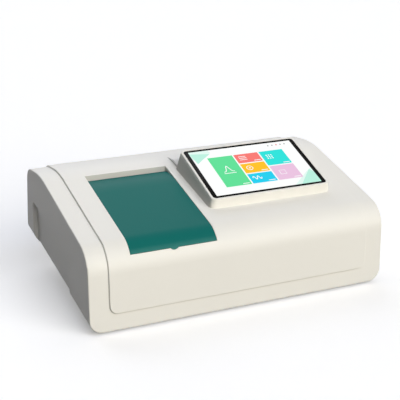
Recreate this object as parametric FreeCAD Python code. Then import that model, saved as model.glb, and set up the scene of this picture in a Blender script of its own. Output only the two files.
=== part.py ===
import FreeCAD, Part
import math
import os

# Double beam spectrophotometer with a hinged sample lid and a tilted touch display.
# Millimetres. While it is drawn, y runs back from the front face and z up from the table.
# save() then moves every piece so that the origin is the middle of the footprint.

os.makedirs("parts", exist_ok=True)
V = FreeCAD.Vector

# Body outline, seen from the side
body_width = 575.0
body_depth = 373.0
front_lift = 4.0
front_height = 141.3
slope_deg = 14.6
rear_run = 108.5
rear_fall_deg = 5.7
rear_lean_deg = 9.0
underside_deg = 9.7
bend_radius = 48.0
ridge_radius = 190.0
rear_radius = 29.0
side_corner_radius = 24.0
cheek_edge_radius = 2.0
housing_wall = 3.0

# Main cover
cover_wall = 3.0
cheek_width = 36.0
front_band = 32.0
cover_corner_radius = 15.0
cover_edge_radius = 1.2
cover_tail = 27.0
cover_ledge = 9.0

# Grip recess in each side
grip_front = 109.0
grip_from_back = 48.0
grip_below_slope = 65.0
grip_depth = 7.2
grip_flank = 5.0
grip_corner = 14.0
relief_height = 10.0
relief_width = 26.0

# Sample lid
lid_width = 159.0
lid_middle = -130.5
lid_boss_length = 8.0
lid_rib_spacing = 40.0
lid_rib_width = 2.0
lid_rib_depth = 3.0
lid_gap = 0.8
lid_edge_deg = 31.0
lid_rear_gap = 4.0
opening_from_ridge = 31.5
lid_wall = 2.5
lid_depth = 16.0
lid_dip_length = 55.0
lid_dip_radius = 205.0
skirt_wall = 2.5
skirt_depth = 20.0
pivot_radius = 2.5
pivot_clearance = 0.05
pivot_from_edge = 11.0
pivot_below_face = 6.5
pivot_boss = 4.6
lip_radius = 9.0
lip_drop = 3.0
lip_thickness = 1.6
lip_seat_depth = 2.4
seal_gap = 0.3
seal_width = 5.5

# Display
display_width = 243.0
display_length = 156.0
display_middle = 94.0
display_front = 71.0
display_rise = 18.0
display_tilt_deg = 21.0
display_draft_deg = 12.0
display_corner = 9.0
display_edge_radius = 1.6
display_skin = 2.0
display_reach_down = 75.0
cable_slot_width = 60.0
cable_slot_length = 12.0
cable_slot_from_front = 70.0
display_wall = 2.5
glass_width = 234.0
glass_length = 147.0
glass_sink = 0.3
glass_fit = 0.3
glass_corner = 6.0
lcd_width = 226.0
lcd_length = 142.0
lcd_thickness = 4.0
frame_lap = 2.0
frame_depth = 5.0
rail_width = 6.0
rail_thickness = 1.0
rail_from_edge = 8.0
display_board_width = 150.0
display_board_length = 70.0
display_board_lift = 6.0
display_post_x = 65.0
display_post_y = 28.0
bridge_height = 2.5
bridge_margin = 3.0
bridge_past_ridge = 5.5
bridge_overlap = 10.0
bridge_run = 30.0

# Stand
foot_height = 8.0
foot_radius = 11.0
foot_inset = 22.0
tray_half_width = 228.0
tray_front = 24.0
tray_from_back = 37.0
tray_sheet = 1.5
tray_vent_pitch = 12.0
tray_vent_count = 16
tray_vent_width = 3.0
tray_vent_length = 30.0
tray_flange = 13.0
tray_screw_margin = 30.0
tray_screws_a_side = 4
tray_fit = 0.6
screw_radius = 2.0
screw_head_radius = 3.8
screw_head_height = 2.4

# Rear panel and what it carries; v is measured up the leaning back from the heel
panel_half_width = 236.0
panel_low = 12.0
panel_high = 98.0
panel_lap = 8.0
panel_sheet = 1.5
vent_width = 4.0
vent_height = 44.0
vent_pitch = 9.0
vent_count = 9
vent_from_edge = 68.0
fan_size = 60.0
fan_depth = 20.0
fan_middle = 66.0
fan_bore = 28.0
fan_hub = 12.0
fan_blades = 7
fan_tip_gap = 1.0
guard_wire = 1.0
inlet_from_edge = 46.0
inlet_width = 27.5
inlet_height = 20.0
inlet_depth = 24.0
inlet_flange = 4.0
switch_from_inlet = 44.0
switch_width = 19.0
switch_height = 13.0
switch_depth = 16.0
switch_flange = 2.0
rocker_swing_deg = 16.0
rocker_radius = 13.0
rocker_gap = 0.4
main_board_width = 150.0
main_board_height = 80.0
main_board_middle = -40.0
main_board_gap = 12.0
board_thickness = 1.6
board_post_radius = 3.0
board_hole_margin = 5.0
coil_radius = 4.0
coil_length = 14.0
coil_up = 18.0
coils_across = (48, 58)
port_width = 13.0
port_height = 6.5
port_count = 2
port_pitch = 24.0

# Bench and beam
bench_half_width = 218.0
bench_front = 36.0
bench_from_back = 55.0
bench_low = 22.0
bench_thickness = 8.0
bench_rib = 6.0
bench_web = 3.0
bench_columns = 6
bench_rows = 4
bench_mount_inset = 25.0
bench_mount_radius = 10.0
beam_height = 100.0
sample_beam = 95.0
reference_beam = 165.0

# Sample compartment
tub_floor = 58.0
tub_wall = 2.5
tub_front = 18.0
tub_seat_gap = 0.3
tub_leg_radius = 8.0
tub_leg_from_side = 20.0
tub_leg_from_front = 35.0
tub_leg_from_back = 25.0
window_radius = 8.0
window_thickness = 1.5
window_clear = 6.0
cell_side = 12.5
cell_fit = 0.3
cell_height = 45.0
cell_beam = 15.0
holder_wall = 6.0
holder_plate = 5.0
holder_top_below_cell = 10.0
holder_margin = 30.0
holder_screw_reach = 22.0
sight_width = 5.0
sight_height = 16.0
sight_corner = 2.4
spring_sheet = 0.4
spring_bulge = 3.0
spring_width = 5.0
spring_slot_width = 6.0
spring_slot_depth = 2.5
spring_end_gap = 2.0

# Detector side
detector_depth = 28.0
detector_height = 34.0
detector_margin = 22.0
detector_pocket_width = 18.0
detector_pocket_wall = 6.0
detector_pocket_drop = 8.0
detector_board_lap = 4.0
diode_radius = 7.0
diode_length = 9.0
diode_sight_radius = 4.0
diode_sight_depth = 1.0
chip_width = 12.0
chip_height = 8.0
chip_thickness = 3.0

# Beam division
splitter_x = -20.0
optic_side = 24.0
optic_thickness = 2.0
post_plate = 5.0
post_width = 30.0
post_foot = 6.0
post_foot_front = 4.0
post_foot_back = 12.0
optic_lap = 3.0

# Monochromator
mono_left = 5.0
mono_right = 130.0
mono_front = 118.0
mono_from_back = 26.0
mono_top = 134.0
mono_wall = 4.0
mono_lid = 3.0
mono_boss_radius = 5.0
grating_x = 72.0
grating_from_back = 80.0
gear_module = 0.8
gear_teeth = 60
pinion_teeth = 15
gear_face = 6.0
gear_backlash = 0.15
sector_low_teeth = 8
sector_high_teeth = 4
table_shaft = 4.0
motor_shaft = 2.5
motor_height = 28.0
motor_gap = 2.0
running_gap = 0.05
motor_side = 28.0
motor_bore = 12.0
pedestal_radius = 9.0
pedestal_foot_radius = 14.0
pedestal_foot = 4.0
pedestal_floor = 2.5
pedestal_gap = 0.3
grating_side = 25.0
grating_thickness = 6.0
mirror_radius = 18.0
mirror_thickness = 8.0
mirror_hollow = 240.0
mirror_inset = 16.0
mirror_turn_deg = 14.0
mirror_mount_wall = 4.0
mirror_mount_width = 24.0

# Light source
lamp_left = 158.0
lamp_right = 218.0
lamp_length = 142.0
lamp_from_back = 26.0
lamp_top = 136.0
lamp_wall = 2.0
lamp_slot_inset = 10.0
lamp_slot_start = 12.0
lamp_slot_width = 3.0
lamp_slot_pitch = 8.0
lamp_slot_count = 9
source_from_back = 42.0
wheel_radius = 24.0
wheel_thickness = 3.0
wheel_circle = 16.0
filter_radius = 5.5
filter_count = 6
wheel_shift = 4.0
lamp_x = 188.0
deuterium_from_mirror = 72.0
deuterium_radius = 14.0
deuterium_height = 50.0
deuterium_dome = 9.0
halogen_x = 205.0
halogen_from_mirror = 42.0
halogen_radius = 5.0
halogen_height = 20.0
socket_height = 34.0
socket_wall = 2.0
halogen_socket_height = 50.0
halogen_socket_side = 16.0
halogen_cap_height = 7.0
halogen_cap_width = 10.0
halogen_cap_thickness = 4.0
source_motor_radius = 13.0
source_motor_height = 22.0
source_motor_bore = 10.0
source_shaft_depth = 9.0
source_table_radius = 12.0
source_table_thickness = 4.0
source_table_lift = 1.0
source_stem_width = 16.0
source_stem_thickness = 6.0
source_stem_above_beam = 10.0
source_glass_behind_axis = 2.0
source_mirror_side = 30.0
source_mirror_thickness = 4.0

# Power supply
supply_left = 20.0
supply_right = 196.0
supply_front = 42.0
supply_back = 106.0
supply_lift = 5.0
supply_post_inset = 6.0
supply_can_radius = 9.0
supply_can_height = 30.0
supply_can_x = 38.0
supply_can_y = 18.0
supply_can_pitch = 26.0
supply_can_count = 2

# Parts soldered to the boards: place, width, depth and height of each. On the supply the place is the near
# left corner from the board's own, on the main board it is the middle and on the display board the corner,
# both from the board's middle
supply_board_parts = ((60, 12, 38, 34, 28), (110, 8, 40, 3, 32), (110, 52, 40, 3, 32), (6, 10, 16, 44, 12))
main_board_parts = ((-55, 18, 26, 26, 3), (-10, 22, 14, 20, 2), (22, 20, 18, 12, 2.5),
                    (-50, -20, 34, 8, 9), (0, -22, 20, 8, 9), (30, -14, 12, 12, 3))
display_board_parts = ((-50, -20, 22, 22, 2), (-10, -25, 12, 18, 3), (20, -15, 30, 10, 5),
                       (-20, 12, 40, 8, 6))

# How far a cutting shape runs past what it cuts
overrun = 30.0
headroom = 100.0

half_width = body_width / 2
ridge_back = body_depth - rear_run
grip_back = body_depth - grip_from_back
opening_back = ridge_back - opening_from_ridge
bridge_back = ridge_back + bridge_past_ridge
tray_back = body_depth - tray_from_back
bench_back = body_depth - bench_from_back
mono_back = bench_back - mono_from_back
grating_y = mono_back - grating_from_back
source_beam = mono_back - source_from_back
lamp_back = bench_back - lamp_from_back
lamp_front = lamp_back - lamp_length
deuterium_y = source_beam - deuterium_from_mirror
halogen_y = source_beam - halogen_from_mirror
inlet_middle = panel_half_width - inlet_from_edge
switch_middle = inlet_middle - switch_from_inlet
vent_middle = vent_from_edge - panel_half_width
cover_half = half_width - cheek_width
slope = math.tan(math.radians(slope_deg))
underside = math.tan(math.radians(underside_deg))
ridge_height = front_lift + front_height + ridge_back * slope
heel_height = front_lift + body_depth * underside
above = ridge_height + headroom
behind = body_depth + overrun
bench_top = bench_low + bench_thickness
front_y = -(body_depth - cover_wall) / 2


# General shapes

def box(x0, x1, y0, y1, z0, z1):
    return Part.makeBox(x1 - x0, y1 - y0, z1 - z0, V(x0, y0, z0))


def rod(base, axis, radius, length):
    return Part.makeCylinder(radius, length, V(*base), V(*axis))


def ring(base, axis, outer, inner, length):
    return rod(base, axis, outer, length).cut(rod(base, axis, inner, length))


def fuse(shapes):
    shapes = list(shapes)
    joined = shapes[0].multiFuse(shapes[1:]) if len(shapes) > 1 else shapes[0]
    return joined.removeSplitter()


def group(shapes):
    return Part.makeCompound(list(shapes))


def rounded_wire(points, radii, place):
    """Closed wire through points with an arc of the given radius at each corner."""
    edges = []
    ends = []
    count = len(points)
    for i in range(count):
        p = V(points[i][0], points[i][1], 0)
        back = (V(*points[i - 1], 0) - p).normalize()
        ahead = (V(*points[(i + 1) % count], 0) - p).normalize()
        half_angle = back.getAngle(ahead) / 2
        radius = radii[i]
        if radius < 0.05:
            ends.append((p, p, p))
            continue
        reach = radius / math.tan(half_angle)
        middle = (back + ahead).normalize()
        centre = p + middle * (radius / math.sin(half_angle))
        ends.append((p + back * reach, centre - middle * radius, p + ahead * reach))
    for i in range(count):
        start, top, end = (place(q.x, q.y) for q in ends[i])
        if (start - end).Length > 1e-6:
            edges.append(Part.Arc(start, top, end).toShape())
        follow = place(ends[(i + 1) % count][0].x, ends[(i + 1) % count][0].y)
        if (follow - end).Length > 1e-6:
            edges.append(Part.LineSegment(end, follow).toShape())
    return Part.Wire(edges)


def side_prism(points, x0, x1, radii=None):
    """A shape drawn in the side view (y, z) and carried from x0 to x1."""
    radii = radii or [0] * len(points)
    wire = rounded_wire(points, radii, lambda y, z: V(x0, y, z))
    return Part.Face(wire).extrude(V(x1 - x0, 0, 0))


def plan_prism(points, z0, z1, radii=None):
    """A shape drawn in plan (x, y) and carried from z0 to z1."""
    radii = radii or [0] * len(points)
    wire = rounded_wire(points, radii, lambda x, y: V(x, y, z0))
    return Part.Face(wire).extrude(V(0, 0, z1 - z0))


def rectangle(x0, x1, y0, y1):
    return [(x0, y0), (x1, y0), (x1, y1), (x0, y1)]


def soft_plate(x0, x1, y0, y1, z0, z1, radius):
    return plan_prism(rectangle(x0, x1, y0, y1), z0, z1, [radius] * 4)


def middle_of(edge):
    return edge.valueAt((edge.FirstParameter + edge.LastParameter) / 2)


def sharp_edges(shape):
    """Edges whose two faces meet at an angle, and not smoothly."""
    found = []
    for edge in shape.Edges:
        point = middle_of(edge)
        normals = [face.normalAt(*face.Surface.parameter(point))
                   for face in shape.ancestorsOfType(edge, Part.Face)]
        if len(normals) == 2 and normals[0].getAngle(normals[1]) > math.radians(8):
            found.append(edge)
    return found


def save(name, shape):
    moved = shape.copy()
    moved.translate(V(0, front_y, 0))
    moved.exportStep("parts/" + name + ".step")


# The side outline: five straight runs, offset outwards by any amount

def outline_runs():
    """Each run is a point on it and its outward direction, in (y, z)."""
    s, f, l, u = (math.radians(a) for a in (slope_deg, rear_fall_deg, rear_lean_deg, underside_deg))
    return [((0, front_lift), (-1, 0)),
            ((0, front_lift + front_height), (-math.sin(s), math.cos(s))),
            ((ridge_back, ridge_height), (math.sin(f), math.cos(f))),
            ((body_depth, heel_height), (math.cos(l), math.sin(l))),
            ((0, front_lift), (math.sin(u), -math.cos(u)))]


def outline_corners(offset):
    """Sharp corners of the outline after every run moves outwards by offset."""
    runs = outline_runs()
    corners = []
    for (p, n), (q, m) in zip(runs, runs[1:] + runs[:1]):
        a = p[0] * n[0] + p[1] * n[1] + offset
        b = q[0] * m[0] + q[1] * m[1] + offset
        cross = n[0] * m[1] - n[1] * m[0]
        corners.append(((a * m[1] - b * n[1]) / cross, (b * n[0] - a * m[0]) / cross))
    return corners


def body_block(offset, x0, x1):
    """The whole outline as a solid from x0 to x1, its walls moved outwards by offset."""
    radii = [bend_radius + offset, ridge_radius + offset, rear_radius + offset, 0, 0]
    return side_prism(outline_corners(offset), x0, x1, radii)


def rounded_body(offset):
    """The outline block with its long lower edges rounded, as the front view shows."""
    half = half_width + offset
    start = -2 * overrun
    low = front_lift - offset / math.cos(math.radians(underside_deg)) + start * underside
    corner = max(side_corner_radius + offset, 0.4)
    points = [(-half, low), (half, low), (half, low + 2 * above), (-half, low + 2 * above)]
    wire = rounded_wire(points, [corner, corner, 0, 0], lambda x, z: V(x, start, z))
    run = behind - start
    return Part.Face(wire).extrude(V(0, run, run * underside)).common(body_block(offset, -half, half))


def bend_centre():
    """Centre of the round bend between front and slope, in (y, z)."""
    s = math.radians(slope_deg)
    y = bend_radius
    z = front_lift + front_height + y * slope - bend_radius / math.cos(s)
    return y, z


def slope_height(y, offset=0.0):
    """Height of the slope, moved outwards by offset, at a distance y behind the front."""
    return front_lift + front_height + y * slope + offset / math.cos(math.radians(slope_deg))


def around(centre, radius, angle_deg):
    """Point at an angle that is counted upwards from straight ahead."""
    a = math.radians(angle_deg)
    return centre[0] - radius * math.cos(a), centre[1] + radius * math.sin(a)


# Housing

def grip_shape(grow):
    """The grip recess of the left side; grow adds a wall round it."""
    def corners(inset):
        front = grip_front - grow + inset
        back = grip_back + grow - inset
        drop = (grip_below_slope - grow + inset) / math.cos(math.radians(slope_deg))
        low = -overrun
        return [(front, low), (front, slope_height(front) - drop),
                (back, slope_height(min(back, ridge_back)) - drop), (back, low)]
    radii = [0, grip_corner, grip_corner, 0]
    outer = rounded_wire(corners(-0.5 * grip_flank), radii, lambda y, z: V(-half_width - 1, y, z))
    inner = rounded_wire(corners(grip_flank), radii,
                         lambda y, z: V(-half_width + grip_depth + grow, y, z))
    return Part.makeLoft([outer, inner], True, True)


def grip_relief(grow):
    """Undercut of the left lower edge along the grip, ramped at its ends; grow adds a wall round it."""
    near, far = grip_front - grow * math.sqrt(2), grip_back + grow * math.sqrt(2)
    rise = relief_height + grow
    profile = [(near - 1, -1), (near + rise, rise), (far - rise, rise), (far + 1, -1)]
    points = [(y, front_lift + y * underside + up) for y, up in profile]
    return side_prism(points, -half_width - 1, -half_width + relief_width + grow)


def grip_cuts(grow):
    """The recess and the undercut on both sides."""
    left = [grip_shape(grow), grip_relief(grow)]
    return group(left + [mirrored(shape) for shape in left])


def mirrored(shape):
    return shape.mirror(V(0, 0, 0), V(1, 0, 0))


def back_place(shape):
    """Moves a shape drawn on an upright back (v up, outwards +y) onto the leaning back."""
    placed = shape.copy()
    turn = FreeCAD.Placement(V(0, body_depth, heel_height), FreeCAD.Rotation(V(1, 0, 0), rear_lean_deg))
    placed.transformShape(turn.toMatrix())
    return placed


def floor_place(shape):
    """Moves a shape drawn on a level floor at z = 0 onto the slanted underside."""
    placed = shape.copy()
    turn = FreeCAD.Placement(V(0, 0, front_lift), FreeCAD.Rotation(V(1, 0, 0), underside_deg))
    placed.transformShape(turn.toMatrix())
    return placed


def tray_screw_spots():
    """Middles of the tray screws, on the slanted floor."""
    across = tray_half_width + tray_flange / 2
    run = 1 / math.cos(math.radians(underside_deg))
    near, far = (tray_front + tray_screw_margin) * run, (tray_back - tray_screw_margin) * run
    pitch = (far - near) / (tray_screws_a_side - 1)
    return [(side * across, near + pitch * i) for side in (-1, 1) for i in range(tray_screws_a_side)]


def base_housing():
    outer = rounded_body(0)
    outer = outer.makeFillet(cheek_edge_radius, sharp_edges(outer))
    inner = rounded_body(-housing_wall).cut(grip_cuts(housing_wall))
    shell = outer.cut(grip_cuts(0)).cut(inner)
    sill = front_lift + front_band + cover_ledge
    tail = back_point(cover_tail - cover_ledge)
    top_open = side_prism([(-overrun, sill), (overrun, sill), (tail[0] - overrun, tail[1]),
                           (behind, tail[1]), (behind, above), (-overrun, above)],
                          cover_ledge - cover_half, cover_half - cover_ledge)
    shell = shell.cut(top_open)
    back_open = box(-panel_half_width, panel_half_width, -housing_wall - 1, 1, panel_low, panel_high)
    shell = shell.cut(back_place(back_open))
    shell = shell.cut(group([back_place(panel_screw(x, v)) for x, v in panel_screw_spots()]))
    floor_open = box(-tray_half_width - tray_fit, tray_half_width + tray_fit,
                     tray_front - tray_fit, tray_back + tray_fit, 0, heel_height + overrun)
    floor_skin = floor_place(box(-half_width, half_width, 0, behind, -1, housing_wall + 1))
    shell = shell.cut(floor_open.common(floor_skin))
    holes = [rod((x, y, -1), (0, 0, 1), screw_radius, housing_wall + 2) for x, y in tray_screw_spots()]
    return shell.cut(group([floor_place(h) for h in holes]))


def back_point(down):
    """Point on the back, a distance down from the sharp rear top corner, in (y, z)."""
    corner = outline_corners(0)[2]
    lean = math.radians(rear_lean_deg)
    return corner[0] + down * math.sin(lean), corner[1] - down * math.cos(lean)


# Main cover

def opening_prism(grow):
    """The space of the lid opening, widened on every side by grow."""
    centre = bend_centre()
    turn = math.radians(lid_edge_deg)
    shift = (-grow * math.sin(turn), -grow * math.cos(turn))
    near = around(centre, bend_radius - skirt_depth - 5, lid_edge_deg)
    far = around(centre, bend_radius + overrun, lid_edge_deg)
    points = [(near[0] + shift[0], near[1] + shift[1]), (far[0] + shift[0], far[1] + shift[1]),
              (far[0], above), (opening_back + grow, above), (opening_back + grow, near[1] + shift[1])]
    reach = lid_width / 2 + lid_gap + grow
    return side_prism(points, lid_middle - reach, lid_middle + reach)


def main_cover():
    plain = body_block(cover_wall, -cover_half, cover_half)
    sill = front_lift + front_band
    tail = back_point(cover_tail)
    keep = side_prism([(-overrun, sill), (overrun, sill), (tail[0] - overrun, tail[1]),
                       (behind, tail[1]), (behind, above), (-overrun, above)], -cover_half, cover_half)
    r = cover_corner_radius
    corners = [(-cover_half, sill), (cover_half, sill), (cover_half, above), (-cover_half, above)]
    front_view = rounded_wire(corners, [r, r, 0, 0], lambda x, z: V(x, -overrun, z))
    rounded = Part.Face(front_view).extrude(V(0, behind + overrun, 0))
    outer = plain.common(keep).common(rounded)
    inside = body_block(cover_wall / 2, -body_width, body_width)
    rim = [e for e in sharp_edges(outer) if not inside.isInside(middle_of(e), 0.01, True)]
    outer = outer.makeFillet(cover_edge_radius, rim)
    shell = outer.cut(body_block(0, -half_width, half_width))
    shell = shell.cut(opening_prism(0))
    skirt = opening_prism(skirt_wall).cut(opening_prism(0))
    skirt = skirt.common(body_block(cover_wall / 2, -half_width, half_width))
    skirt = skirt.cut(body_block(-skirt_depth + cover_wall, -half_width, half_width))
    shell = fuse([shell, skirt])
    y, z = pivot_point()
    bore = rod((-half_width, y, z), (1, 0, 0), pivot_radius + pivot_clearance, body_width)
    shell = shell.cut(bore.common(opening_prism(skirt_wall + 1)))
    shell = shell.cut(lip_rod(lip_radius + lid_gap, lip_seat_depth))
    slot_front = display_front + cable_slot_from_front
    cable_slot = box(display_middle - cable_slot_width / 2, display_middle + cable_slot_width / 2,
                     slot_front, slot_front + cable_slot_length, beam_height, above)
    return shell.cut(cable_slot)


def lip_rod(radius, depth):
    """Rod square to the bend at the middle of the lid's lower edge, from a depth below the outer face."""
    a = math.radians(lid_edge_deg)
    middle = around(bend_centre(), bend_radius + cover_wall - depth, lid_edge_deg)
    lift = lip_radius - lip_drop
    base = (lid_middle, middle[0] + lift * math.sin(a), middle[1] + lift * math.cos(a))
    return rod(base, (0, -math.cos(a), math.sin(a)), radius, lid_depth)


# Sample lid

def lid_dip_start():
    """Where the lid's straight stretch ends, on its outer face, in (y, z)."""
    y = opening_back - lid_rear_gap - lid_dip_length
    return y, slope_height(y, cover_wall)


def lid_dip_centre():
    s = math.radians(slope_deg)
    y, z = lid_dip_start()
    return y + lid_dip_radius * math.sin(s), z - lid_dip_radius * math.cos(s)


def lid_section(top, bottom, inset):
    """Side view of the lid between two depths below its outer face, its ends inset."""
    outer_bend = bend_radius + cover_wall
    centre, dip = bend_centre(), lid_dip_centre()
    low = lid_edge_deg + math.degrees((lid_gap + inset) / outer_bend)
    upright = 90 - slope_deg
    end_angle = upright + math.degrees((lid_dip_length - inset) / lid_dip_radius)

    def arc(c, r, a0, a1):
        p = [around(c, r, a) for a in (a0, (a0 + a1) / 2, a1)]
        return Part.Arc(*(V(0, *q) for q in p)).toShape()

    def line(p, q):
        return Part.LineSegment(V(0, *p), V(0, *q)).toShape()

    edges = []
    edges.append(arc(centre, outer_bend - top, low, upright))
    edges.append(line(around(centre, outer_bend - top, upright), around(dip, lid_dip_radius - top, upright)))
    edges.append(arc(dip, lid_dip_radius - top, upright, end_angle))
    edges.append(line(around(dip, lid_dip_radius - top, end_angle),
                      around(dip, lid_dip_radius - bottom, end_angle)))
    edges.append(arc(dip, lid_dip_radius - bottom, end_angle, upright))
    edges.append(line(around(dip, lid_dip_radius - bottom, upright),
                      around(centre, outer_bend - bottom, upright)))
    edges.append(arc(centre, outer_bend - bottom, upright, low))
    edges.append(line(around(centre, outer_bend - bottom, low), around(centre, outer_bend - top, low)))
    return Part.Face(Part.Wire(edges))


def lid_block(top, bottom, inset):
    reach = lid_width / 2 - inset
    block = lid_section(top, bottom, inset).extrude(V(2 * reach, 0, 0))
    block.translate(V(lid_middle - reach, 0, 0))
    return block


def pivot_point():
    """Lid pivot axis in (y, z): ahead of the rear edge and below the outer face."""
    dip = lid_dip_centre()
    angle = 90 - slope_deg + math.degrees((lid_dip_length - pivot_from_edge) / lid_dip_radius)
    return around(dip, lid_dip_radius - pivot_below_face, angle)


def sample_lid():
    shell = lid_block(0, lid_depth, 0).cut(lid_block(lid_wall, lid_depth + 1, lid_wall))
    y, z = pivot_point()
    reach = lid_width / 2
    bosses = [rod((x, y, z), (1, 0, 0), pivot_boss, lid_boss_length)
              for x in (lid_middle - reach, lid_middle + reach - lid_boss_length)]
    stiff = lid_block(lid_wall, lid_wall + lid_rib_depth, lid_wall)
    ribs = [stiff.common(box(x - lid_rib_width / 2, x + lid_rib_width / 2, 0, body_depth, 0, above))
            for x in (lid_middle - lid_rib_spacing, lid_middle, lid_middle + lid_rib_spacing)]
    lip = lid_block(0, lip_thickness, -lip_drop - lid_gap).common(lip_rod(lip_radius, lid_wall))
    shell = fuse([shell, lip] + bosses + ribs)
    return shell.cut(rod((-half_width, y, z), (1, 0, 0), pivot_radius, body_width))


def lid_pivot_pins():
    y, z = pivot_point()
    reach = lid_width / 2
    length = lid_boss_length + lid_gap + skirt_wall
    return group([rod((lid_middle - reach - lid_gap - skirt_wall, y, z), (1, 0, 0), pivot_radius, length),
                  rod((lid_middle + reach - lid_boss_length, y, z), (1, 0, 0), pivot_radius, length)])


# Seal on the compartment's rim

def lid_seal():
    band = body_block(cover_wall - lid_depth - seal_gap, -half_width, half_width)
    band = band.cut(body_block(cover_wall - skirt_depth - tub_seat_gap, -half_width, half_width))
    frame = opening_prism(-seal_gap).cut(opening_prism(-seal_gap - seal_width))
    return band.common(frame).common(box(-half_width, half_width, 0, lid_dip_start()[0], 0, above))


# Display

def display_place(shape):
    """Moves a shape drawn on a level top face (front edge middle at the origin) to its tilted place."""
    placed = shape.copy()
    top = slope_height(display_front, cover_wall) + display_rise
    turn = FreeCAD.Placement(V(display_middle, display_front, top),
                             FreeCAD.Rotation(V(1, 0, 0), display_tilt_deg))
    placed.transformShape(turn.toMatrix())
    return placed


def display_loft(inset, top, depth):
    """The wedge from top down to depth; its front and side walls are drafted, its rear wall is square."""
    flare = math.tan(math.radians(display_draft_deg))

    def loop(z):
        grow = -z * flare - inset
        half = display_width / 2 + grow
        corner = max(display_corner + grow, 1.0)
        return rounded_wire(rectangle(-half, half, -grow, display_length - inset), [corner] * 4,
                            lambda x, y: V(x, y, z))
    return Part.makeLoft([loop(top), loop(-depth)], True, True)


def centred_plate(width, length, middle, z0, z1, radius):
    """Rounded plate in the display's own frame, centred across and at middle along the tilt."""
    return soft_plate(-width / 2, width / 2, middle - length / 2, middle + length / 2, z0, z1, radius)


def ridge_surface(y, offset):
    """Height of the outline on the rounded ridge."""
    corner = outline_corners(0)[1]
    half_turn = math.radians(slope_deg + rear_fall_deg) / 2
    tilt = math.radians(slope_deg - rear_fall_deg) / 2
    reach = ridge_radius / math.cos(half_turn)
    centre = corner[0] + reach * math.sin(tilt), corner[1] - reach * math.cos(tilt)
    return centre[1] + math.sqrt((ridge_radius + offset) ** 2 - (y - centre[0]) ** 2)


def display_housing():
    outer = display_loft(0, 0, display_reach_down)
    top_rim = [e for e in sharp_edges(outer) if e.BoundBox.ZMin > -0.01]
    outer = outer.makeFillet(display_edge_radius, top_rim)
    inner = display_place(display_loft(display_wall, -display_skin, display_reach_down + 1))
    window = centred_plate(glass_width + 2 * glass_fit, glass_length + 2 * glass_fit,
                           display_length / 2, -display_skin - 1, 1, glass_corner + glass_fit)
    wedge = display_place(outer)
    rear = display_front + display_length * math.cos(math.radians(display_tilt_deg))
    start, end = rear - bridge_overlap, rear + bridge_run
    bridge = side_prism([(start, beam_height), (start, slope_height(start, cover_wall) + bridge_height),
                         (end, slope_height(end, cover_wall) + bridge_height),
                         (bridge_back, ridge_surface(bridge_back, cover_wall)), (bridge_back, beam_height)],
                        display_middle - display_width / 2 - bridge_margin,
                        display_middle + display_width / 2 + bridge_margin)
    shape = fuse([wedge, bridge]).cut(inner).cut(display_place(window))
    return shape.cut(body_block(cover_wall, -half_width, half_width))


def cover_glass():
    plate = centred_plate(glass_width, glass_length, display_length / 2, -display_skin, -glass_sink,
                          glass_corner)
    return display_place(plate)


def display_frame():
    outer = centred_plate(glass_width + 2 * frame_lap, glass_length + 2 * frame_lap, display_length / 2,
                          -display_skin - frame_depth, -display_skin, glass_corner + frame_lap)
    inner = centred_plate(lcd_width, lcd_length, display_length / 2, -display_skin - frame_depth - 1, 0, 2)
    return display_place(outer.cut(inner))


def lcd_module():
    panel = centred_plate(lcd_width, lcd_length, display_length / 2,
                          -display_skin - lcd_thickness, -display_skin, 2)
    low = -display_skin - lcd_thickness
    rails = [centred_plate(lcd_width - 2 * rail_from_edge, rail_width,
                           display_length / 2 + side * (lcd_length / 2 - rail_from_edge),
                           low - rail_thickness, low, 2)
             for side in (-1, 1)]
    return display_place(fuse([panel] + rails))


def display_board():
    top = -display_skin - lcd_thickness - rail_thickness - 2
    middle = display_length / 2 + display_board_lift
    board = centred_plate(display_board_width, display_board_length, middle, top - board_thickness, top, 3)
    posts = [rod((x, middle + y, top), (0, 0, 1), board_post_radius, 3)
             for x in (-display_post_x, display_post_x) for y in (-display_post_y, display_post_y)]
    chips = [box(x, x + w, middle + y, middle + y + d, top - board_thickness - h, top - board_thickness)
             for x, y, w, d, h in display_board_parts]
    return display_place(fuse([board] + posts + chips))


# Stand

def tray_space(inset, z0, z1):
    return box(inset - tray_half_width, tray_half_width - inset,
               tray_front + inset, tray_back - inset, z0, z1)


def chassis_tray():
    high = heel_height + 40
    pan = tray_space(0, foot_height, high).cut(tray_space(tray_sheet, foot_height + tray_sheet, high + 1))
    over_floor = floor_place(box(-half_width, half_width, -overrun, behind + overrun,
                                 housing_wall + tray_sheet, above))
    run = 1 / math.cos(math.radians(underside_deg))
    flange = box(-tray_half_width - tray_flange, tray_half_width + tray_flange,
                 tray_front * run - tray_flange / 2, tray_back * run + tray_flange,
                 housing_wall, housing_wall + tray_sheet)
    flange = floor_place(flange).cut(tray_space(tray_sheet, foot_height, high + 1))
    tray = fuse([pan.cut(over_floor), flange])
    holes = [floor_place(rod((x, y, 0), (0, 0, 1), screw_radius, housing_wall + tray_sheet + 1))
             for x, y in tray_screw_spots()]
    vents = []
    for i in range(tray_vent_count):
        x = (i - (tray_vent_count - 1) / 2) * tray_vent_pitch
        for y in (tray_front + (tray_back - tray_front) * share for share in (0.2, 0.65)):
            vents.append(box(x - tray_vent_width / 2, x + tray_vent_width / 2, y, y + tray_vent_length,
                             foot_height - 1, foot_height + tray_sheet + 1))
    return tray.cut(group(holes + vents))


def foot_spots():
    return [(x, y) for x in (foot_inset - tray_half_width, tray_half_width - foot_inset)
            for y in (tray_front + foot_inset, tray_back - foot_inset)]


def feet():
    shapes = []
    for x, y in foot_spots():
        cone = Part.makeCone(foot_radius - 1.5, foot_radius, foot_height, V(x, y, 0))
        shapes.append(cone.cut(rod((x, y, -1), (0, 0, 1), foot_radius / 3, foot_height / 2)))
    return group(shapes)


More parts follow.
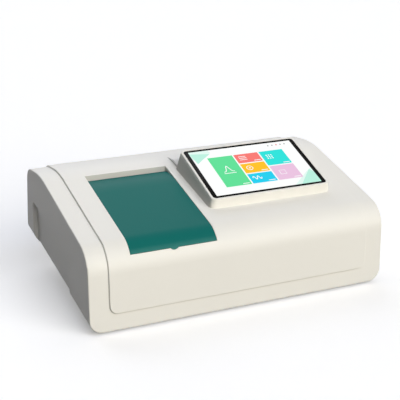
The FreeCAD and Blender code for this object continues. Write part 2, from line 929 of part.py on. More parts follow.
def tray_screws():
    shapes = []
    for x, y in tray_screw_spots():
        head = rod((x, y, -screw_head_height), (0, 0, 1), screw_head_radius, screw_head_height)
        slot = box(x - 3, x + 3, y - 0.5, y + 0.5, -screw_head_height - 1, 1 - screw_head_height)
        shank = rod((x, y, 0), (0, 0, 1), screw_radius, housing_wall + tray_sheet + 3)
        shapes.append(floor_place(fuse([head.cut(slot), shank])))
    return group(shapes)


# Back

def panel_middle():
    return (panel_low + panel_high) / 2


def panel_screw_spots():
    high = panel_high + panel_lap / 2 + 1
    low = panel_low - panel_lap / 2 - 1
    xs = [panel_half_width * k for k in (-0.94, -0.33, 0.33, 0.94)]
    return [(x, high) for x in xs] + [(x, low) for x in xs]


def panel_screw(x, v):
    head = Part.makeCone(screw_radius, screw_head_radius, screw_head_height - 0.4,
                         V(x, 0.4 - screw_head_height, v), V(0, 1, 0))
    shank = rod((x, -housing_wall - panel_sheet - 3, v), (0, 1, 0), screw_radius,
                housing_wall + panel_sheet + 3)
    return fuse([head, shank])


def rear_panel_screws():
    slotted = [back_place(panel_screw(x, v).cut(box(x - 3, x + 3, -0.8, 1, v - 0.5, v + 0.5)))
               for x, v in panel_screw_spots()]
    return group(slotted + fan_screws())


def upright(x, width, v, height, y0, y1, radius=0.0):
    """Rounded block on the upright back, centred at (x, v), from depth y0 to y1."""
    wire = rounded_wire(rectangle(x - width / 2, x + width / 2, v - height / 2, v + height / 2),
                        [radius] * 4, lambda a, b: V(a, y0, b))
    return Part.Face(wire).extrude(V(0, y1 - y0, 0))


def port_middles():
    return [main_board_middle + (i - (port_count - 1) / 2) * port_pitch for i in range(port_count)]


def rear_panel():
    inner = -housing_wall - panel_sheet
    width = 2 * (panel_half_width + panel_lap)
    height = panel_high - panel_low + 2 * panel_lap
    mid = panel_middle()
    plate = upright(0, width, mid, height, inner, -housing_wall, 4)
    cuts = [upright(vent_middle + (i - (vent_count - 1) / 2) * vent_pitch, vent_width, mid, vent_height,
                    inner - 1, 0, vent_width / 2) for i in range(vent_count)]
    cuts.append(rod((fan_middle, inner - 1, mid), (0, 1, 0), fan_bore, panel_sheet + 2))
    cuts.append(upright(inlet_middle, inlet_width, mid, inlet_height, inner - 1, 0))
    cuts.append(upright(switch_middle, switch_width, mid, switch_height, inner - 1, 0))
    cuts += [upright(x, port_width, mid, port_height, inner - 1, 0) for x in port_middles()]
    cuts += [panel_screw(x, v) for x, v in panel_screw_spots()]
    cuts += [rod((x, inner - 1, v), (0, 1, 0), screw_radius, panel_sheet + 2) for x, v in fan_screw_spots()]
    return back_place(plate.cut(group(cuts)))


def fan_screw_spots():
    reach = fan_size / 2 - 5
    return [(fan_middle + a * reach, panel_middle() + b * reach) for a in (-1, 1) for b in (-1, 1)]


def fan_inner_face():
    return -housing_wall - panel_sheet - fan_depth


def fan_frame():
    y0 = fan_inner_face()
    mid = panel_middle()
    frame = upright(fan_middle, fan_size, mid, fan_size, y0, y0 + fan_depth, 4)
    frame = frame.cut(rod((fan_middle, y0 - 1, mid), (0, 1, 0), fan_bore, fan_depth + 2))
    hub = rod((fan_middle, y0, mid), (0, 1, 0), fan_hub, 3)
    struts = []
    for i in range(4):
        arm = box(fan_middle, fan_middle + fan_bore + 1, y0, y0 + 3, mid - 2, mid + 2)
        struts.append(arm.rotate(V(fan_middle, 0, mid), V(0, 1, 0), 45 + 90 * i))
    shape = fuse([frame, hub] + struts)
    bore = rod((fan_middle, y0 - 1, mid), (0, 1, 0), motor_shaft + running_gap, 6)
    holes = [rod((x, y0 - 1, v), (0, 1, 0), screw_radius, fan_depth + 2) for x, v in fan_screw_spots()]
    return back_place(shape.cut(group([bore] + holes)))


def fan_rotor():
    y0 = fan_inner_face()
    mid = panel_middle()
    hub = rod((fan_middle, y0 + 3.5, mid), (0, 1, 0), fan_hub, fan_depth - 6)
    shaft = rod((fan_middle, y0 + 0.5, mid), (0, 1, 0), motor_shaft, 4)
    blades = []
    for i in range(fan_blades):
        blade = box(fan_hub - 2, fan_bore, -0.8, 0.8, -9, 9)
        blade.rotate(V(0, 0, 0), V(1, 0, 0), 38)
        blade.rotate(V(0, 0, 0), V(1, 0, 0), -90)
        blade.rotate(V(0, 0, 0), V(0, 1, 0), 360 / fan_blades * i)
        blade.translate(V(fan_middle, y0 + fan_depth / 2 + 0.5, mid))
        blades.append(blade)
    reach = rod((fan_middle, y0 + 4, mid), (0, 1, 0), fan_bore - fan_tip_gap, fan_depth - 7)
    return back_place(fuse([hub, shaft] + [b.common(reach) for b in blades]))


def fan_guard():
    mid = panel_middle()
    centre = V(fan_middle, -housing_wall + guard_wire, mid)
    rings = [Part.makeTorus(r, guard_wire, centre, V(0, 1, 0)) for r in (9, 16, 23, 30)]
    stays = []
    for x, v in fan_screw_spots():
        out = V(x - fan_middle, 0, v - mid).normalize()
        start = centre + out * 9
        stays.append(Part.makeCylinder(guard_wire * 0.9, (V(x, centre.y, v) - start).Length, start, out))
        stays.append(rod((x, -housing_wall, v), (0, 1, 0), 4, 2 * guard_wire))
    holes = [rod((x, -housing_wall - 1, v), (0, 1, 0), screw_radius, 4 * guard_wire)
             for x, v in fan_screw_spots()]
    return back_place(fuse(rings + stays).cut(group(holes)))


def fan_screws():
    shapes = []
    for x, v in fan_screw_spots():
        head = rod((x, 2 * guard_wire - housing_wall, v), (0, 1, 0), screw_head_radius, 0.9)
        shank = rod((x, fan_inner_face() + 6, v), (0, 1, 0), screw_radius,
                    2 * guard_wire - housing_wall - fan_inner_face() - 6)
        shapes.append(back_place(fuse([head, shank])))
    return shapes


def mains_inlet():
    mid = panel_middle()
    face = -housing_wall + 2
    flange = upright(inlet_middle, inlet_width + 2 * inlet_flange, mid, inlet_height + 2 * inlet_flange,
                     -housing_wall, face, 4)
    body = upright(inlet_middle, inlet_width, mid, inlet_height, face - inlet_depth, face)
    well = upright(inlet_middle, inlet_width - 3.5, mid, inlet_height - 3.5, face - 17, face + 1, 3)
    pins = [upright(inlet_middle + a, 2, mid + b, 4, face - 19, face - 2)
            for a, b in ((-7, 2), (7, 2), (0, -2))]
    return back_place(fuse([fuse([flange, body]).cut(well)] + pins))


def switch_pivot():
    return -housing_wall - 3.0, panel_middle()


def switch_frame():
    mid = panel_middle()
    y, v = switch_pivot()
    face = -housing_wall + switch_flange
    flange = upright(switch_middle, switch_width + 4, mid, switch_height + 4, -housing_wall, face, 2)
    body = upright(switch_middle, switch_width, mid, switch_height, face - switch_depth, face)
    well = upright(switch_middle, switch_width - 3, mid, switch_height - 2 * 1.0, y - 8, face + 1)
    bore = rod((switch_middle - switch_width / 2 - 1, y, v), (1, 0, 0), 1 + running_gap, switch_width + 2)
    terminals = [upright(switch_middle + a, 0.8, mid, 6, face - switch_depth - 8, face - switch_depth)
                 for a in (-4, 4)]
    return back_place(fuse([fuse([flange, body]).cut(group([well, bore]))] + terminals))


def power_rocker():
    y, v = switch_pivot()
    half_height = switch_height / 2 - 1 - rocker_gap
    width = switch_width - 3 - 2 * rocker_gap
    barrel = rod((switch_middle - width / 2, y, v), (1, 0, 0), half_height, width)
    reach = -housing_wall + switch_flange - y - 0.4
    paddle = [(y, v - half_height * 0.85), (y + reach, v - half_height * 0.85), (y + reach - 1.2, v),
              (y + reach, v + half_height * 0.85), (y, v + half_height * 0.85)]
    paddle = side_prism(paddle, switch_middle - width / 2, switch_middle + width / 2)
    pin = rod((switch_middle - switch_width / 2 + 0.2, y, v), (1, 0, 0), 1, switch_width - 0.4)
    shape = fuse([barrel, paddle, pin])
    shape.rotate(V(switch_middle, y, v), V(1, 0, 0), -rocker_swing_deg / 2)
    return back_place(shape)


def board_face():
    return -housing_wall - panel_sheet - main_board_gap


def main_board():
    y1 = board_face()
    board = upright(main_board_middle, main_board_width, panel_middle(), main_board_height,
                    y1 - board_thickness, y1, 2)
    holes = [rod((x, y1 - 3, v), (0, 1, 0), 1.5, 5) for x, v in board_spots()]
    return back_place(board.cut(group(holes)))


def board_spots():
    a, b = main_board_width / 2 - board_hole_margin, main_board_height / 2 - board_hole_margin
    return [(main_board_middle + i * a, panel_middle() + j * b) for i in (-1, 1) for j in (-1, 1)]


def board_standoffs():
    return group([back_place(rod((x, board_face(), v), (0, 1, 0), board_post_radius, main_board_gap))
                  for x, v in board_spots()])


def board_components():
    y1 = board_face() - board_thickness
    mid = panel_middle()
    parts = []
    for x, v, w, h, d in main_board_parts:
        parts.append(back_place(upright(main_board_middle + x, w, mid + v, h, y1 - d, y1)))
    for x in coils_across:
        parts.append(back_place(rod((main_board_middle + x, y1 - coil_length, mid + coil_up), (0, 1, 0),
                                    coil_radius, coil_length)))
    return group(parts)


def data_ports():
    shapes = []
    mid = panel_middle()
    for x in port_middles():
        shell = upright(x, port_width - 0.4, mid, port_height - 0.4, board_face(), -housing_wall)
        cavity = upright(x, port_width - 1.2, mid, port_height - 1.2, board_face() + 2, 0)
        tongue = upright(x, port_width - 3, mid + 0.8, 1.6, board_face() + 2, -housing_wall - 1)
        shapes.append(back_place(fuse([shell.cut(cavity), tongue])))
    return group(shapes)


# Bench and sample compartment

def optical_bench():
    plate = soft_plate(-bench_half_width, bench_half_width, bench_front, bench_back, bench_low, bench_top, 10)
    pockets = []
    width = (2 * bench_half_width - bench_rib) / bench_columns - bench_rib
    depth = (bench_back - bench_front - bench_rib) / bench_rows - bench_rib
    for i in range(bench_columns):
        for j in range(bench_rows):
            x = -bench_half_width + bench_rib + i * (width + bench_rib)
            y = bench_front + bench_rib + j * (depth + bench_rib)
            if 0 < i < bench_columns - 1 or 0 < j < bench_rows - 1:
                pockets.append(soft_plate(x, x + width, y, y + depth,
                                          bench_low - 1, bench_top - bench_web, 5))
    return plate.cut(group(pockets))


def bench_mounts():
    low = foot_height + tray_sheet
    shapes = []
    reach = bench_half_width - bench_mount_inset
    r = bench_mount_radius
    for x in (-reach, reach):
        for y in (bench_front + bench_mount_inset, bench_back - bench_mount_inset):
            pad = rod((x, y, low), (0, 0, 1), r, bench_low - low)
            shapes.append(pad.cut(ring((x, y, low + 3), (0, 0, 1), r + 1, r - 2, bench_low - low - 6)))
    return group(shapes)


def tub_sides():
    reach = lid_width / 2 + lid_gap + skirt_wall
    return lid_middle - reach, lid_middle + reach


def beams():
    return sample_beam, reference_beam


def over_outline(offset):
    """All the space above the outline, its walls moved outwards by offset."""
    return box(-half_width, half_width, -overrun, behind, beam_height, above).cut(
        body_block(offset, -half_width, half_width))


def compartment_tub():
    left, right = tub_sides()
    back = opening_back + skirt_wall
    top = cover_wall - skirt_depth - tub_seat_gap
    outer = box(left, right, tub_front, back, tub_floor, above).cut(over_outline(top))
    w = tub_wall
    inner = box(left + w, right - w, tub_front + w, back - w, tub_floor + w, above)
    shell = outer.cut(inner)
    ledge = box(left + 1, right - 1, tub_front + 1, lid_dip_start()[0] + seal_gap, tub_floor, above)
    ledge = ledge.common(over_outline(top - w)).cut(over_outline(top))
    inset = skirt_wall + seal_gap + seal_width
    ledge = ledge.cut(box(left + inset, right - inset, tub_front + inset + 3, back, tub_floor, above))
    legs = [rod((x, y, bench_top), (0, 0, 1), tub_leg_radius, tub_floor - bench_top)
            for x in (left + tub_leg_from_side, right - tub_leg_from_side)
            for y in (tub_front + tub_leg_from_front, back - tub_leg_from_back)]
    shell = fuse([shell, ledge] + legs)
    cuts = []
    for y in beams():
        cuts.append(rod((left - 1, y, beam_height), (1, 0, 0), window_clear, right - left + 2))
        cuts.append(rod((left, y, beam_height), (1, 0, 0), window_radius, window_thickness))
        cuts.append(rod((right - window_thickness, y, beam_height), (1, 0, 0),
                        window_radius, window_thickness))
    cuts += [rod((x, y, tub_floor - 1), (0, 0, 1), screw_radius, tub_wall + 2)
             for x, y in holder_screw_spots()]
    return shell.cut(group(cuts))


def beam_windows():
    left, right = tub_sides()
    return group([rod((x, y, beam_height), (1, 0, 0), window_radius, window_thickness)
                  for x in (left, right - window_thickness) for y in beams()])


def holder_screw_spots():
    reach = holder_screw_reach
    return [(lid_middle + a * reach, b) for a in (-1, 1)
            for b in (sample_beam - reach, reference_beam + reach)]


def cell_floor():
    return beam_height - cell_beam


def holder_top():
    return cell_floor() + cell_height - holder_top_below_cell


def cell_holder():
    low = tub_floor + tub_wall
    plate = soft_plate(lid_middle - holder_margin, lid_middle + holder_margin,
                       sample_beam - holder_margin, reference_beam + holder_margin,
                       low, low + holder_plate, 4)
    side = cell_side + cell_fit
    half = side / 2 + holder_wall
    shape = plate
    for y in beams():
        block = soft_plate(lid_middle - half, lid_middle + half, y - half, y + half,
                           low + holder_plate, holder_top(), 3)
        shape = fuse([shape, block])
    cuts = []
    for y in beams():
        cuts.append(box(lid_middle - side / 2, lid_middle + side / 2, y - side / 2, y + side / 2,
                        cell_floor(), holder_top() + 1))
        cuts.append(soft_slot(y))
        cuts.append(box(lid_middle - spring_slot_width / 2, lid_middle + spring_slot_width / 2,
                        y + side / 2 - 1, y + side / 2 + spring_slot_depth, cell_floor(), holder_top() + 1))
    cuts += [rod((x, y, low - 1), (0, 0, 1), screw_radius, holder_plate + 2) for x, y in holder_screw_spots()]
    return shape.cut(group(cuts))


def soft_slot(y):
    """Upright slot along the beam through one cell block."""
    outline = rectangle(y - sight_width / 2, y + sight_width / 2,
                        beam_height - sight_height / 2, beam_height + sight_height / 2)
    wire = rounded_wire(outline, [sight_corner] * 4, lambda a, b: V(lid_middle - holder_margin, a, b))
    return Part.Face(wire).extrude(V(2 * holder_margin, 0, 0))


def cell_springs():
    side = cell_side + cell_fit
    height = holder_top() - cell_floor() - 2 * spring_end_gap
    bulge = spring_bulge
    radius = (height ** 2 / 4 + bulge ** 2) / (2 * bulge)
    shapes = []
    for y in beams():
        wall = y + side / 2 + spring_slot_depth
        middle = cell_floor() + spring_end_gap + height / 2
        strip = ring((lid_middle - spring_width / 2, wall - bulge + radius, middle), (1, 0, 0),
                     radius, radius - spring_sheet, spring_width)
        shapes.append(strip.common(box(lid_middle - spring_width, lid_middle + spring_width,
                                       wall - bulge, wall, cell_floor(), holder_top())))
    return group(shapes)


def cell_holder_screws():
    low = tub_floor + tub_wall + holder_plate
    shapes = []
    for x, y in holder_screw_spots():
        head = rod((x, y, low), (0, 0, 1), screw_head_radius, screw_head_height)
        socket = rod((x, y, low + 1), (0, 0, 1), 1.4, screw_head_height)
        shank = rod((x, y, tub_floor - 2), (0, 0, 1), screw_radius, low - tub_floor + 2)
        shapes.append(fuse([head, shank]).cut(socket))
    return group(shapes)


def detector_block():
    face = tub_sides()[0]
    outer = face - detector_depth
    shape = soft_plate(outer, face, sample_beam - detector_margin, reference_beam + detector_margin,
                       beam_height - detector_height / 2, beam_height + detector_height / 2, 2)
    cuts = []
    for y in beams():
        cuts.append(rod((outer - 1, y, beam_height), (1, 0, 0), window_clear, detector_depth + 2))
        cuts.append(rod((outer, y, beam_height), (1, 0, 0), diode_radius, diode_length))
    middle = (sample_beam + reference_beam) / 2
    cuts.append(box(outer - 1, face - detector_pocket_wall,
                    middle - detector_pocket_width / 2, middle + detector_pocket_width / 2,
                    beam_height - detector_pocket_drop, beam_height + overrun))
    return shape.cut(group(cuts))


def photodiodes():
    face = tub_sides()[0] - detector_depth
    shapes = []
    for y in beams():
        can = rod((face, y, beam_height), (1, 0, 0), diode_radius, diode_length)
        sight = rod((face + diode_length - diode_sight_depth, y, beam_height), (1, 0, 0),
                    diode_sight_radius, diode_sight_depth + 1)
        shapes.append(can.cut(sight))
    return group(shapes)


def detector_board():
    face = tub_sides()[0] - detector_depth
    half = detector_height / 2 + detector_board_lap
    board = box(face - board_thickness, face, sample_beam - detector_margin, reference_beam + detector_margin,
                beam_height - half, beam_height + half)
    middle = (sample_beam + reference_beam) / 2
    back = face - board_thickness
    chips = [box(back - chip_thickness, back, y - chip_width / 2, y + chip_width / 2,
                 beam_height - chip_height / 2, beam_height + chip_height / 2)
             for y in (sample_beam, middle, reference_beam)]
    return fuse([board] + chips)


# Beam division

def turned(shape, x, y, angle):
    shape.rotate(V(0, 0, 0), V(0, 0, 1), angle)
    shape.translate(V(x, y, 0))
    return shape


def mirror_posts():
    shapes = []
    for y in beams():
        foot = soft_plate(-post_width / 2, post_width / 2, -post_foot_front, post_plate + post_foot_back,
                          bench_top, bench_top + post_foot, 2)
        plate = box(-post_width / 2, post_width / 2, optic_thickness / 2, optic_thickness / 2 + post_plate,
                    bench_top + post_foot, beam_height + post_width / 2)
        post = fuse([foot, plate])
        post = post.cut(rod((0, -overrun, beam_height), (0, 1, 0), optic_side / 2 - optic_lap, 2 * overrun))
        shapes.append(turned(post, splitter_x, y, 45))
    return group(shapes)


def optic_plate(y):
    plate = box(-optic_side / 2, optic_side / 2, -optic_thickness / 2, optic_thickness / 2,
                beam_height - optic_side / 2, beam_height + optic_side / 2)
    return turned(plate, splitter_x, y, 45)


# Monochromator

def monochromator_case():
    w = mono_wall
    outer = soft_plate(mono_left, mono_right, mono_front, mono_back, bench_top, mono_top, 6)
    inner = soft_plate(mono_left + w, mono_right - w, mono_front + w, mono_back - w,
                       bench_top + w, mono_top + 1, 4)
    shell = outer.cut(inner)
    bosses = [rod((x, y, bench_top + w), (0, 0, 1), mono_boss_radius, mono_top - bench_top - w)
              for x, y in mono_screw_spots()]
    shell = fuse([shell] + bosses)
    holes = [rod((x, y, mono_top - 12), (0, 0, 1), screw_radius, 20) for x, y in mono_screw_spots()]
    holes.append(rod((mono_left - 1, reference_beam, beam_height), (1, 0, 0), window_clear, w + 2))
    holes.append(rod((mono_right - w - 1, source_beam, beam_height), (1, 0, 0), window_clear, w + 2))
    return shell.cut(group(holes))


def mono_screw_spots():
    inset = mono_wall + 3.0
    return [(x, y) for x in (mono_left + inset, mono_right - inset)
            for y in (mono_front + inset, mono_back - inset)]


def monochromator_cover():
    plate = soft_plate(mono_left, mono_right, mono_front, mono_back, mono_top, mono_top + mono_lid, 6)
    bead = soft_plate(mono_left + 20, mono_right - 20, mono_front + 20, mono_back - 20,
                      mono_top + mono_lid, mono_top + mono_lid + 1.5, 8)
    plate = fuse([plate, bead])
    return plate.cut(group([rod((x, y, mono_top - 1), (0, 0, 1), screw_radius, 10)
                            for x, y in mono_screw_spots()]))


def monochromator_screws():
    top = mono_top + mono_lid
    return group([fuse([rod((x, y, mono_top - 11), (0, 0, 1), screw_radius, mono_lid + 11),
                        rod((x, y, top), (0, 0, 1), screw_head_radius, screw_head_height)])
                  for x, y in mono_screw_spots()])


def slit_plate(x, y):
    disc = rod((x, y, beam_height), (1, 0, 0), 12, 2)
    slot = box(x - 1, x + 3, y - 0.4, y + 0.4, beam_height - 4, beam_height + 4)
    return disc.cut(slot)


def gear_outline(teeth, first, last, centre_deg, thinned, addendum=1.0):
    """Points of the teeth from first to last, counted from the one at centre_deg."""
    pitch = gear_module * teeth / 2
    base = pitch * math.cos(math.radians(20))
    tip = pitch + addendum * gear_module
    root = pitch - 1.25 * gear_module

    def involute(r):
        return math.tan(math.acos(base / r)) - math.acos(base / r)
    half_tooth = math.pi / 2 / teeth - thinned / 2 / (2 * pitch)
    steps = [max(base, root + 0.01) + (tip - max(base, root + 0.01)) * k / 3 for k in range(4)]
    points = []
    for i in range(first, last + 1):
        middle = math.radians(centre_deg) + 2 * math.pi * i / teeth
        flank = [(r, half_tooth + involute(pitch) - involute(r)) for r in steps]
        flank = [(root, flank[0][1])] + flank
        for r, a in flank:
            points.append((r * math.cos(middle - a), r * math.sin(middle - a)))
        for r, a in reversed(flank):
            points.append((r * math.cos(middle + a), r * math.sin(middle + a)))
    return points


def gear_low():
    return bench_top + mono_wall + motor_height + motor_gap


def pinion_spot():
    return grating_x, grating_y + gear_module * (gear_teeth + pinion_teeth) / 2


def grating_table():
    low = gear_low()
    points = [(0, 0)] + gear_outline(gear_teeth, -sector_low_teeth, sector_high_teeth, 90, gear_backlash, 0.9)
    sector = plan_prism(points, low, low + gear_face)
    hub = rod((0, 0, low), (0, 0, 1), 14, gear_face)
    disc = rod((0, 0, low + gear_face), (0, 0, 1), grating_side / 2 + 4, 4)
    half = grating_side / 2
    clamp = box(-half, half, 0, 6, low + gear_face + 4, beam_height - half)
    back = box(-half, half, 0, 5, low + gear_face + 4, beam_height + half)
    shaft = rod((0, 0, bench_top + mono_wall + 3), (0, 0, 1), table_shaft, low - bench_top - mono_wall - 3)
    shape = fuse([sector, hub, disc, clamp, back, shaft])
    shape.translate(V(grating_x, grating_y, 0))
    return shape


def grating():
    plate = box(-grating_side / 2, grating_side / 2, -grating_thickness, 0,
                beam_height - grating_side / 2, beam_height + grating_side / 2)
    plate = plate.common(box(-50, 50, -50, 50, gear_low() + gear_face + 4, 200))
    plate.translate(V(grating_x, grating_y, 0))
    return plate


def grating_pedestal():
    low = bench_top + mono_wall
    post = fuse([rod((0, 0, low), (0, 0, 1), pedestal_foot_radius, pedestal_foot),
                 rod((0, 0, low), (0, 0, 1), pedestal_radius, gear_low() - low - pedestal_gap)])
    post = post.cut(rod((0, 0, low + pedestal_floor), (0, 0, 1), table_shaft + running_gap, gear_low() - low))
    post.translate(V(grating_x, grating_y, 0))
    return post


def drive_motor():
    x, y = pinion_spot()
    low = bench_top + mono_wall
    half = motor_side / 2
    body = soft_plate(x - half, x + half, y - half, y + half, low, low + motor_height, 3)
    return body.cut(rod((x, y, low + motor_height - motor_bore), (0, 0, 1), motor_shaft + running_gap,
                        motor_bore + 1))


def drive_pinion():
    x, y = pinion_spot()
    points = gear_outline(pinion_teeth, 0, pinion_teeth - 1, -90 + 180 / pinion_teeth, gear_backlash)
    wheel = plan_prism(points, gear_low(), gear_low() + gear_face)
    shaft = rod((0, 0, gear_low() - motor_gap - 10), (0, 0, 1), motor_shaft, motor_gap + 12 + gear_face)
    shape = fuse([wheel, shaft])
    shape.translate(V(x, y, 0))
    return shape


def concave_mirrors():
    """Two round mirrors at beam height; each hollow face looks along its angle in plan."""
    disc = rod((-mirror_thickness, 0, beam_height), (1, 0, 0), mirror_radius, mirror_thickness)
    ball = Part.makeSphere(mirror_hollow, V(mirror_hollow - 1.5, 0, beam_height))
    mirror = disc.cut(ball)
    return group([turned(mirror.copy(), *place) for place in (collimator_place(), focuser_place())])


def mirror_mounts():
    shapes = []
    for x, y, angle in (collimator_place(), focuser_place()):
        low = bench_top + mono_wall
        back, half = -mirror_thickness - mirror_mount_wall, mirror_mount_width / 2
        foot = box(back, back + 4 * mirror_mount_wall, -half, half, low, low + mirror_mount_wall)
        plate = box(back, -mirror_thickness, -half, half, low, beam_height + half)
        shapes.append(turned(fuse([foot, plate]), x, y, angle))
    return group(shapes)


def collimator_place():
    return mono_left + mono_wall + mirror_inset, source_beam, -mirror_turn_deg


def focuser_place():
    return mono_right - mono_wall - mirror_inset, reference_beam, 180 - mirror_turn_deg


# Light source

def lamp_house():
    w = lamp_wall
    outer = soft_plate(lamp_left, lamp_right, lamp_front, lamp_back, bench_top, lamp_top, 3)
    inner = box(lamp_left + w, lamp_right - w, lamp_front + w, lamp_back - w, bench_top + w, lamp_top - w)
    shell = outer.cut(inner)
    starts = [lamp_front + lamp_slot_start + lamp_slot_pitch * i for i in range(lamp_slot_count)]
    slots = [box(lamp_left + lamp_slot_inset, lamp_right - lamp_slot_inset, y, y + lamp_slot_width,
                 lamp_top - w - 1, lamp_top + 1) for y in starts]
    light = rod((lamp_left - 1, source_beam, beam_height), (1, 0, 0), window_clear, w + 2)
    return shell.cut(group(slots + [light]))


def lamp_sockets():
    low = bench_top + lamp_wall
    half = halogen_socket_side / 2
    return group([rod((lamp_x, deuterium_y, low), (0, 0, 1), deuterium_radius + socket_wall, socket_height),
                  soft_plate(halogen_x - half, halogen_x + half, halogen_y - half, halogen_y + half,
                             low, low + halogen_socket_height, 2)])


def deuterium_lamp():
    low = bench_top + lamp_wall + socket_height
    top = low + deuterium_height
    bulb = rod((lamp_x, deuterium_y, low), (0, 0, 1), deuterium_radius, deuterium_height)
    dome = Part.makeSphere(deuterium_radius, V(lamp_x, deuterium_y, top))
    upper = dome.common(rod((lamp_x, deuterium_y, top), (0, 0, 1), deuterium_radius + 1, deuterium_dome))
    return fuse([bulb, upper])


def halogen_lamp():
    low = bench_top + lamp_wall + halogen_socket_height
    top = low + halogen_cap_height
    across, along = halogen_cap_width / 2, halogen_cap_thickness / 2
    cap = box(halogen_x - across, halogen_x + across, halogen_y - along, halogen_y + along, low, top)
    bulb = rod((halogen_x, halogen_y, top), (0, 0, 1), halogen_radius, halogen_height)
    return fuse([cap, bulb])


def source_mirror_motor():
    low = bench_top + lamp_wall
    body = rod((lamp_x, source_beam, low), (0, 0, 1), source_motor_radius, source_motor_height)
    return body.cut(rod((lamp_x, source_beam, low + source_motor_height - source_motor_bore), (0, 0, 1),
                        motor_shaft + running_gap, source_motor_bore + 1))


def source_mirror():
    low = bench_top + lamp_wall + source_motor_height
    half = source_mirror_side / 2
    table_low = low + source_table_lift
    shaft = rod((0, 0, low - source_shaft_depth), (0, 0, 1), motor_shaft,
                source_shaft_depth + source_table_thickness)
    table = rod((0, 0, table_low), (0, 0, 1), source_table_radius, source_table_thickness)
    back = -source_glass_behind_axis
    stem = box(back, back + source_stem_thickness, -source_stem_width / 2, source_stem_width / 2,
               table_low + source_table_thickness, beam_height + source_stem_above_beam)
    glass = box(back - source_mirror_thickness, back, -half, half, beam_height - half, beam_height + half)
    return turned(fuse([shaft, table, stem, glass]), lamp_x, source_beam, 45)


def wheel_axis():
    return source_beam - wheel_circle, beam_height


def wheel_left():
    return (mono_right + lamp_left) / 2 - wheel_shift


def filter_spots():
    y, z = wheel_axis()
    return [(y + wheel_circle * math.cos(math.radians(a)), z + wheel_circle * math.sin(math.radians(a)))
            for a in (360 / filter_count * i for i in range(filter_count))]


def filter_wheel():
    y, z = wheel_axis()
    x = wheel_left()
    disc = rod((x, y, z), (1, 0, 0), wheel_radius, wheel_thickness)
    shaft = rod((x, y, z), (1, 0, 0), motor_shaft, lamp_left - x - 4)
    shape = fuse([disc, shaft])
    return shape.cut(group([rod((x - 1, a, b), (1, 0, 0), filter_radius, wheel_thickness + 2)
                            for a, b in filter_spots()]))


def filter_glasses():
    x = wheel_left()
    return group([rod((x + 0.5, a, b), (1, 0, 0), filter_radius, wheel_thickness - 1)
                  for a, b in filter_spots()[1:]])


def filter_motor():
    y, z = wheel_axis()
    x = wheel_left() + wheel_thickness + 2
    body = rod((x, y, z), (1, 0, 0), wheel_circle - filter_radius - 1.5, lamp_left - x)
    return body.cut(rod((x - 1, y, z), (1, 0, 0), motor_shaft + running_gap, lamp_left - x - 2))


# Power supply

def power_supply():
    low = bench_top
    inset = supply_post_inset
    posts = [rod((x, y, low), (0, 0, 1), board_post_radius, supply_lift)
             for x in (supply_left + inset, supply_right - inset)
             for y in (supply_front + inset, supply_back - inset)]
    top = low + supply_lift + board_thickness
    board = box(supply_left, supply_right, supply_front, supply_back, low + supply_lift, top)
    parts = [box(supply_left + x, supply_left + x + w, supply_front + y, supply_front + y + d, top, top + h)
             for x, y, w, d, h in supply_board_parts]
    cans = [rod((supply_left + supply_can_x, supply_front + supply_can_y + supply_can_pitch * i, top),
                (0, 0, 1), supply_can_radius, supply_can_height) for i in range(supply_can_count)]
    return fuse([board] + posts + parts + cans)


for name, make in (
        ("base_housing", base_housing), ("main_cover", main_cover),
        ("sample_lid", sample_lid), ("lid_pivot_pins", lid_pivot_pins), ("lid_seal", lid_seal),
        ("display_housing", display_housing), ("cover_glass", cover_glass),
        ("display_frame", display_frame), ("lcd_module", lcd_module), ("display_board", display_board),
        ("chassis_tray", chassis_tray), ("feet", feet), ("tray_screws", tray_screws),
        ("rear_panel", rear_panel), ("rear_panel_screws", rear_panel_screws),
        ("fan_frame", fan_frame), ("fan_rotor", fan_rotor), ("fan_guard", fan_guard),
        ("mains_inlet", mains_inlet),
        ("switch_frame", switch_frame), ("power_rocker", power_rocker),
        ("main_board", main_board), ("board_standoffs", board_standoffs),
        ("board_components", board_components), ("data_ports", data_ports),
        ("optical_bench", optical_bench), ("bench_mounts", bench_mounts),
        ("compartment_tub", compartment_tub), ("beam_windows", beam_windows),
        ("cell_holder", cell_holder), ("cell_springs", cell_springs),
        ("cell_holder_screws", cell_holder_screws),
        ("detector_block", detector_block), ("photodiodes", photodiodes),
        ("detector_board", detector_board), ("mirror_posts", mirror_posts),
        ("monochromator_case", monochromator_case), ("monochromator_cover", monochromator_cover),
        ("monochromator_screws", monochromator_screws),
        ("grating_table", grating_table), ("grating", grating),
        ("grating_pedestal", grating_pedestal), ("drive_motor", drive_motor),
        ("drive_pinion", drive_pinion), ("mirror_mounts", mirror_mounts),
        ("concave_mirrors", concave_mirrors),
        ("lamp_house", lamp_house), ("lamp_sockets", lamp_sockets),
        ("deuterium_lamp", deuterium_lamp), ("halogen_lamp", halogen_lamp),
        ("source_mirror_motor", source_mirror_motor), ("source_mirror", source_mirror),
        ("filter_wheel", filter_wheel), ("filter_glasses", filter_glasses),
        ("filter_motor", filter_motor), ("power_supply", power_supply)):
    save(name, make())

save("beam_splitter", optic_plate(reference_beam))
save("fold_mirror", optic_plate(sample_beam))
save("entrance_slit", slit_plate(mono_right, source_beam))
save("exit_slit", slit_plate(mono_left - 2, reference_beam))
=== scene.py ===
import math

import bpy
import numpy as np
from mathutils import Matrix, Vector


